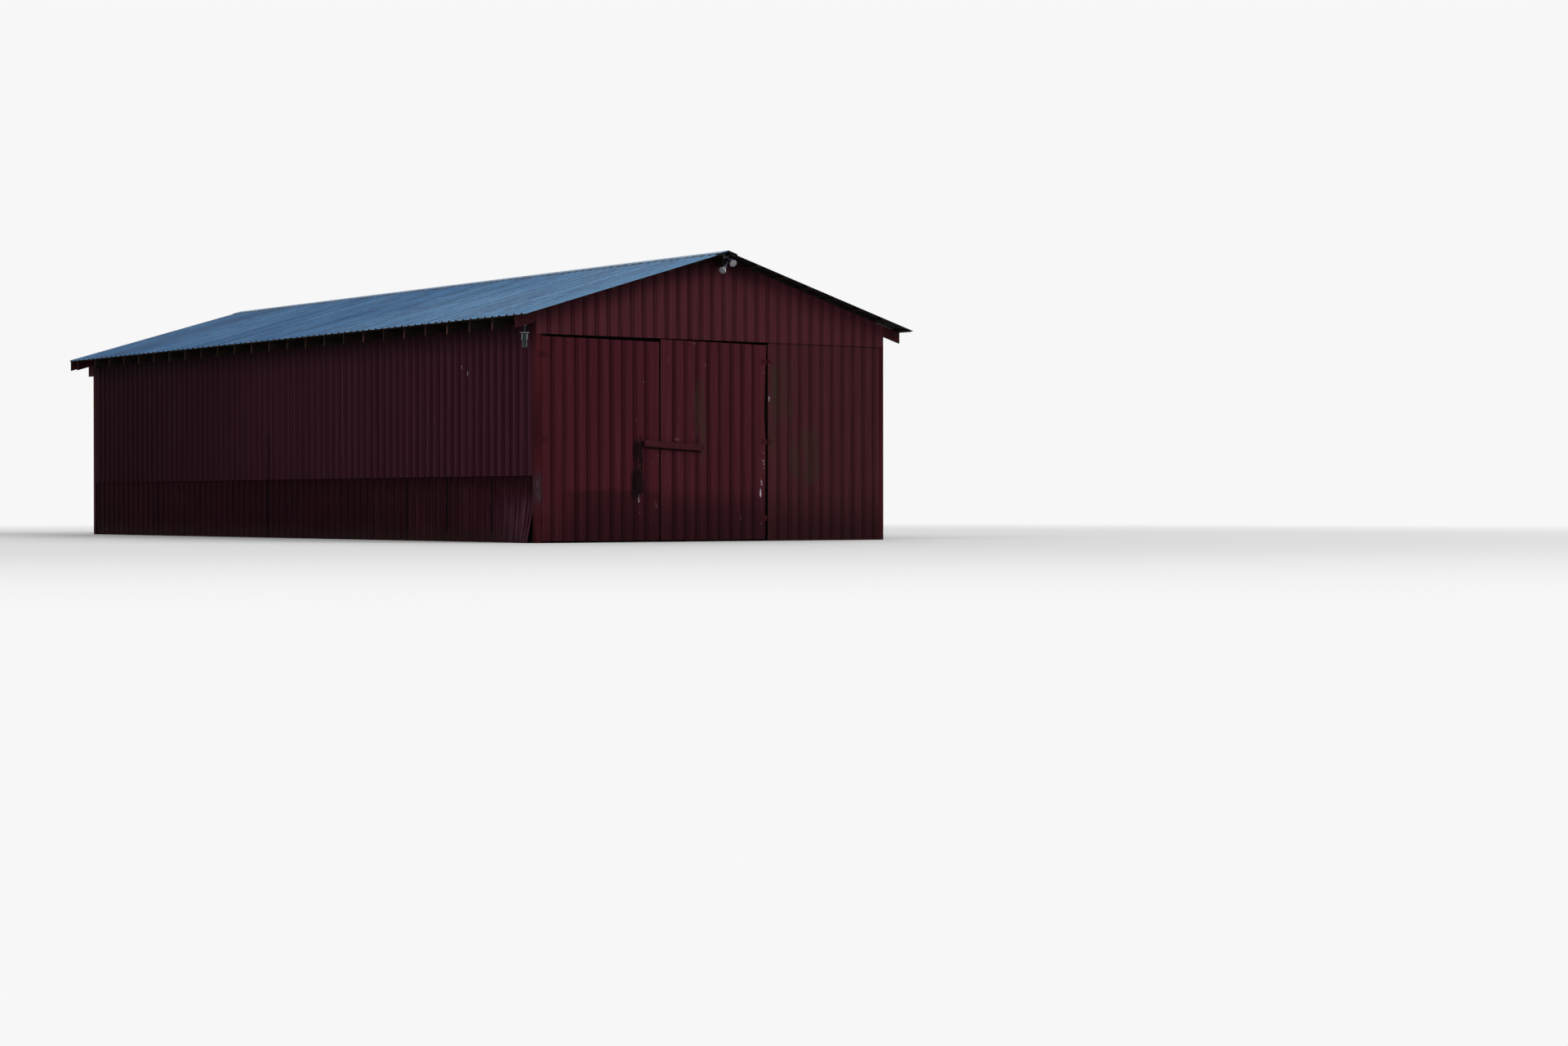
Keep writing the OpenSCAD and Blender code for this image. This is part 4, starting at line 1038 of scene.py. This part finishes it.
tie_off, tie_end, tie_rows = 0.108, 3.50, (0.045, 0.140)
ties = nodes["cross_ties"]
tie_foot = min(round((ties.matrix_world @ v.co).z, 4) for v in ties.data.vertices)
tie_places = []
for i in range(posts_a_side):
    way = 1 if i < posts_a_side / 2 else -1
    y = -post_middle + i * post_gap + way * tie_off
    tie_places += [((x, y, tie_foot + up), (0, way, 0)) for x in (-tie_end, tie_end) for up in tie_rows]
place_screws("tie_bolts", tie_places, bolt_steel, "barn", "bare_timber", coach_bolt)

# %% [markdown]
# Lamps, sleeves and rings are turned shapes. One helper turns a profile of (radius, distance) pairs
# about any axis, which is all that these parts need.

# %% Turned parts
turned_sides = 36


def add_turned(points, faces, profile, place, way, ring=False):
    """Turns the profile about the axis from place along way; a ring has no ends but an inside."""
    turn = np.array(Vector(way).to_track_quat("Z", "Y").to_matrix())
    start, rows = len(points), len(profile)
    for radius, reach in profile:
        for i in range(turned_sides):
            angle = 2 * math.pi * i / turned_sides
            spoke = (radius * math.cos(angle), radius * math.sin(angle), reach)
            points.append(np.array(place) + turn @ spoke)
    for row in range(rows if ring else rows - 1):
        for i in range(turned_sides):
            a, b = start + row * turned_sides, start + (row + 1) % rows * turned_sides
            j = (i + 1) % turned_sides
            faces.append((a + i, a + j, b + j, b + i))
    if not ring:
        faces.append(tuple(range(start + turned_sides - 1, start - 1, -1)))
        faces.append(tuple(range(start + (rows - 1) * turned_sides, start + rows * turned_sides)))


def turned_piece(name, parts, finish, slot):
    points, faces = [], []
    for profile, place, way, ring in parts:
        add_turned(points, faces, profile, place, way, ring)
    piece = mesh_piece(name, points, faces, finish, "barn", slot)
    for polygon in piece.data.polygons:
        polygon.use_smooth = len(polygon.vertices) == 4
    return piece


print("a turned part has", turned_sides, "sides")

# %% [markdown]
# The twin flood light hangs under the peak on a bent stem with a fork. Grey sleeves cover the stem
# and its branches. Each lamp has a cast holder with cooling rings, a bright rim and a pressed lens.
# A lamp is given by the middle of its face and the way back from it, and all its parts follow from
# these two, so that turning a lamp is a change in one place.

# %% Flood light
lamp_length, knuckle_length, knuckle_radius, neck = 0.132, 0.034, 0.0190, 0.020
sleeve_radius, ends = 0.0115, 0.004


def back_way(turn, tilt):
    """The way from a lamp's face back to its holder, by its turn and tilt in degrees."""
    turn, tilt = math.radians(turn), math.radians(tilt)
    return Vector((math.sin(turn) * math.cos(tilt), math.cos(turn) * math.cos(tilt), math.sin(tilt)))


peak_front = Vector((0, -half_l, roof_peak))
lamps = [(peak_front + Vector((0.123, -0.318, -0.167)), back_way(14, 37)),
         (peak_front + Vector((-0.091, -0.293, -0.296)), back_way(64, 36))]
stem_root, stem_bend = Vector((0.022, -9.492, 4.929)), peak_front + Vector((0.060, -0.244, -0.040))
stem_fork = peak_front + Vector((0.114, -0.182, -0.088))
stem_lines = [(stem_root, stem_bend), (stem_bend, stem_fork)]
stem_lines += [(stem_fork, face + back * (lamp_length + neck)) for face, back in lamps]
sleeves = []
for first, last in stem_lines:
    way = last - first
    sleeves.append(([(sleeve_radius, ends), (sleeve_radius, way.length - ends)], first, way, False))
for face, back in lamps:
    knuckle = [(knuckle_radius, lamp_length), (knuckle_radius, lamp_length + knuckle_length)]
    sleeves.append((knuckle, face, back, False))
turned_piece("stem_sleeves", sleeves, sleeve_grey, "lamp_metal")
print("lamps at", [[round(v, 2) for v in face] for face, back in lamps])

# %% [markdown]
# A lamp's holder, rim and lens are profiles round its own axis. The distances run from the lamp's
# face backwards, so the dome of the lens has some below zero. One loop makes all three for both lamps.

# %% Holders, rims and lenses
holder = [(0.0285, 0.079), (0.0295, 0.082)]
for step in (0.088, 0.101, 0.114):
    holder += [(0.0295, step), (0.0325, step + 0.001), (0.0325, step + 0.005), (0.0295, step + 0.006)]
holder += [(0.0295, 0.131), (0.0260, 0.1335)]
rim_profile = [(0.0560, 0.004), (0.0572, -0.0015), (0.0612, -0.0010), (0.0622, 0.008),
               (0.0614, 0.021), (0.0590, 0.022)]
dome = [(0.0570, 0.003), (0.0565, 0.0015), (0.0450, -0.0030), (0.0300, -0.0055), (0.0120, -0.0070)]
for name, profile, ring, finish, slot in (("lamp_holders", holder, False, sleeve_grey, "lamp_metal"),
                                          ("lamp_rims", rim_profile, True, bright_rim, "lamp_metal"),
                                          ("lamp_lenses", dome, False, lens_glass, "lamp_glass")):
    turned_piece(name, [(profile, face, back, ring) for face, back in lamps], finish, slot)
print("a lamp is", 2 * max(radius for radius, reach in rim_profile), "m across")

# %% [markdown]
# The lantern has a thin pale rim round its cap, and three dark rings that clamp its glass at the top,
# between the upper and the lower glass, and at the foot. A ring is a turned outline with four corners.

# %% Lantern rings
glass = nodes["lantern_glass"]
glass_top = Vector((jar_x, jar_y, max((glass.matrix_world @ v.co).z for v in glass.data.vertices)))


def hoop(inner, outer, top, bottom):
    return [(inner, top), (outer, top), (outer, bottom), (inner, bottom)], glass_top, (0, 0, -1), True


turned_piece("lantern_cap_rim", [hoop(0.0770, 0.0797, -0.0110, 0.0005)], enamel, "lantern_metal")
clamps = [hoop(0.0500, 0.0555, 0.0005, 0.0090), hoop(0.0380, 0.0550, 0.1080, 0.1230),
          hoop(0.0300, 0.0425, 0.2260, 0.2385)]
turned_piece("lantern_clamps", clamps, dark_metal, "lantern_metal")
print("lantern rings at", round(glass_top.z, 3))

# %% [markdown]
# Under the edges of the ridge cap a closure strip fills the valleys between the ribs, so that no
# rain or bird gets in. It is a long thin block that disappears into each rib.

# %% Closure strips
strip_low, strip_high, strip_end = purlin_t + 0.0025, crest - 0.0002, roof_end - 0.004
strip_inner, strip_outer = 0.168, 0.179
strip_outline = [(strip_inner, strip_low), (strip_outer, strip_low), (strip_outer, strip_high),
                 (strip_inner, strip_high)]
for side, name in ((-1, "left_closure_strip"), (1, "right_closure_strip")):
    down, square = slope_ways(side)
    corners = [down * run / math.cos(slope_angle) + square * height for run, height in strip_outline]
    points = [Vector((0, y, roof_peak)) + corner for y in (-strip_end, strip_end) for corner in corners]
    faces = [(0, 1, 2, 3), (7, 6, 5, 4)] + [(k, k + 4, (k + 1) % 4 + 4, (k + 1) % 4) for k in range(4)]
    mesh_piece(name, points, faces, roof_steel, "barn", "roof_steel")
print("closure strips on both slopes")

# %% [markdown]
# Every fourth rib is where one sheet laps over the next. The edge of the upper sheet shows as a thin
# step beside the rib, and on old walls it has opened a little here and there. A narrow strip with a
# slightly uneven outer edge stands for each of these laps.

# %% Lap edges
lap_width, lap_lift, lap_step = 0.016, 0.0012, 0.25


def add_lap(points, faces, corner, along, outward, height):
    """A strip from corner up the wall: its outer edge stands off by lap_lift, more in some places."""
    steps = max(2, int(height / lap_step))
    start = len(points)
    along, outward = Vector(along), Vector(outward)
    for i in range(steps + 1):
        up_by = Vector((0, 0, height * i / steps))
        gape = lap_lift * (1 + 1.6 * rng.random())
        for across, off in ((0, 0), (0, lap_lift), (lap_width, gape), (lap_width, gape - lap_lift * 0.8)):
            points.append(Vector(corner) + up_by + along * across + outward * off)
    for i in range(steps):
        a, b = start + 4 * i, start + 4 * (i + 1)
        faces.extend((a + k, a + (k + 1) % 4, b + (k + 1) % 4, b + k) for k in range(4))
    faces.append(tuple(start + k for k in (3, 2, 1, 0)))
    faces.append(tuple(start + 4 * steps + k for k in range(4)))


def lap_piece(name, strips, finish, body):
    """One piece for the laps of a wall; a strip is a corner, a way across, a way out and a height."""
    points, faces = [], []
    for strip in strips:
        add_lap(points, faces, *strip)
    print(name, len(strips), "laps")
    return mesh_piece(name, points, faces, finish, body, "red_steel")


# %% [markdown]
# The laps of a wall are one list of strips and become one piece. The gable sheets have their own laps
# above the lower sheets. Each leaf has two, which ride on it.

# %% Laps of each wall
rib_foot, gable_start, off_slope = 0.035, gable_foot + 0.001, 0.01
wall_foot, wall_height, upper_foot, upper_height = 0.002, 3.48, 1.13, 2.5
leaf_foot, leaf_height = 0.032, 3.38
end_strips = []
for rib in rib_places(*end_ribs)[sheet_ribs - 1::sheet_ribs]:
    front_x, back_x = rib + rib_foot, -rib - rib_foot
    gable_height = under_roof(front_x + lap_width) - gable_start - off_slope
    end_strips.append(((front_x, -half_l - 2 * sheet_t, gable_start), (1, 0, 0), (0, -1, 0), gable_height))
    end_strips.append(((back_x, half_l + sheet_t, wall_foot), (-1, 0, 0), (0, 1, 0), wall_height))
    if front_x > door_right:
        end_strips.append(((front_x, -half_l - sheet_t, wall_foot), (1, 0, 0), (0, -1, 0), wall_height))
lap_piece("end_wall_laps", end_strips, end_paint, "barn")
side_strips = []
for rib in rib_places(*side_ribs)[sheet_ribs - 1::sheet_ribs]:
    for side in (-1, 1):
        corner = (side * (half_w + sheet_t), rib + rib_foot, upper_foot)
        side_strips.append((corner, (0, 1, 0), (side, 0, 0), upper_height))
lap_piece("side_wall_laps", side_strips, side_paint, "barn")
for name, ribs, laps, paint in (("left_leaf", left_leaf_ribs, (2, 6), left_leaf_paint),
                                ("right_leaf", right_leaf_ribs, (1, 5), right_leaf_paint)):
    feet = [(rib_places(*ribs)[k] + rib_foot, -half_l - sheet_t, leaf_foot) for k in laps]
    lap_piece(f"{name}_laps", [(place, (1, 0, 0), (0, -1, 0), leaf_height) for place in feet], paint, name)

# %% [markdown]
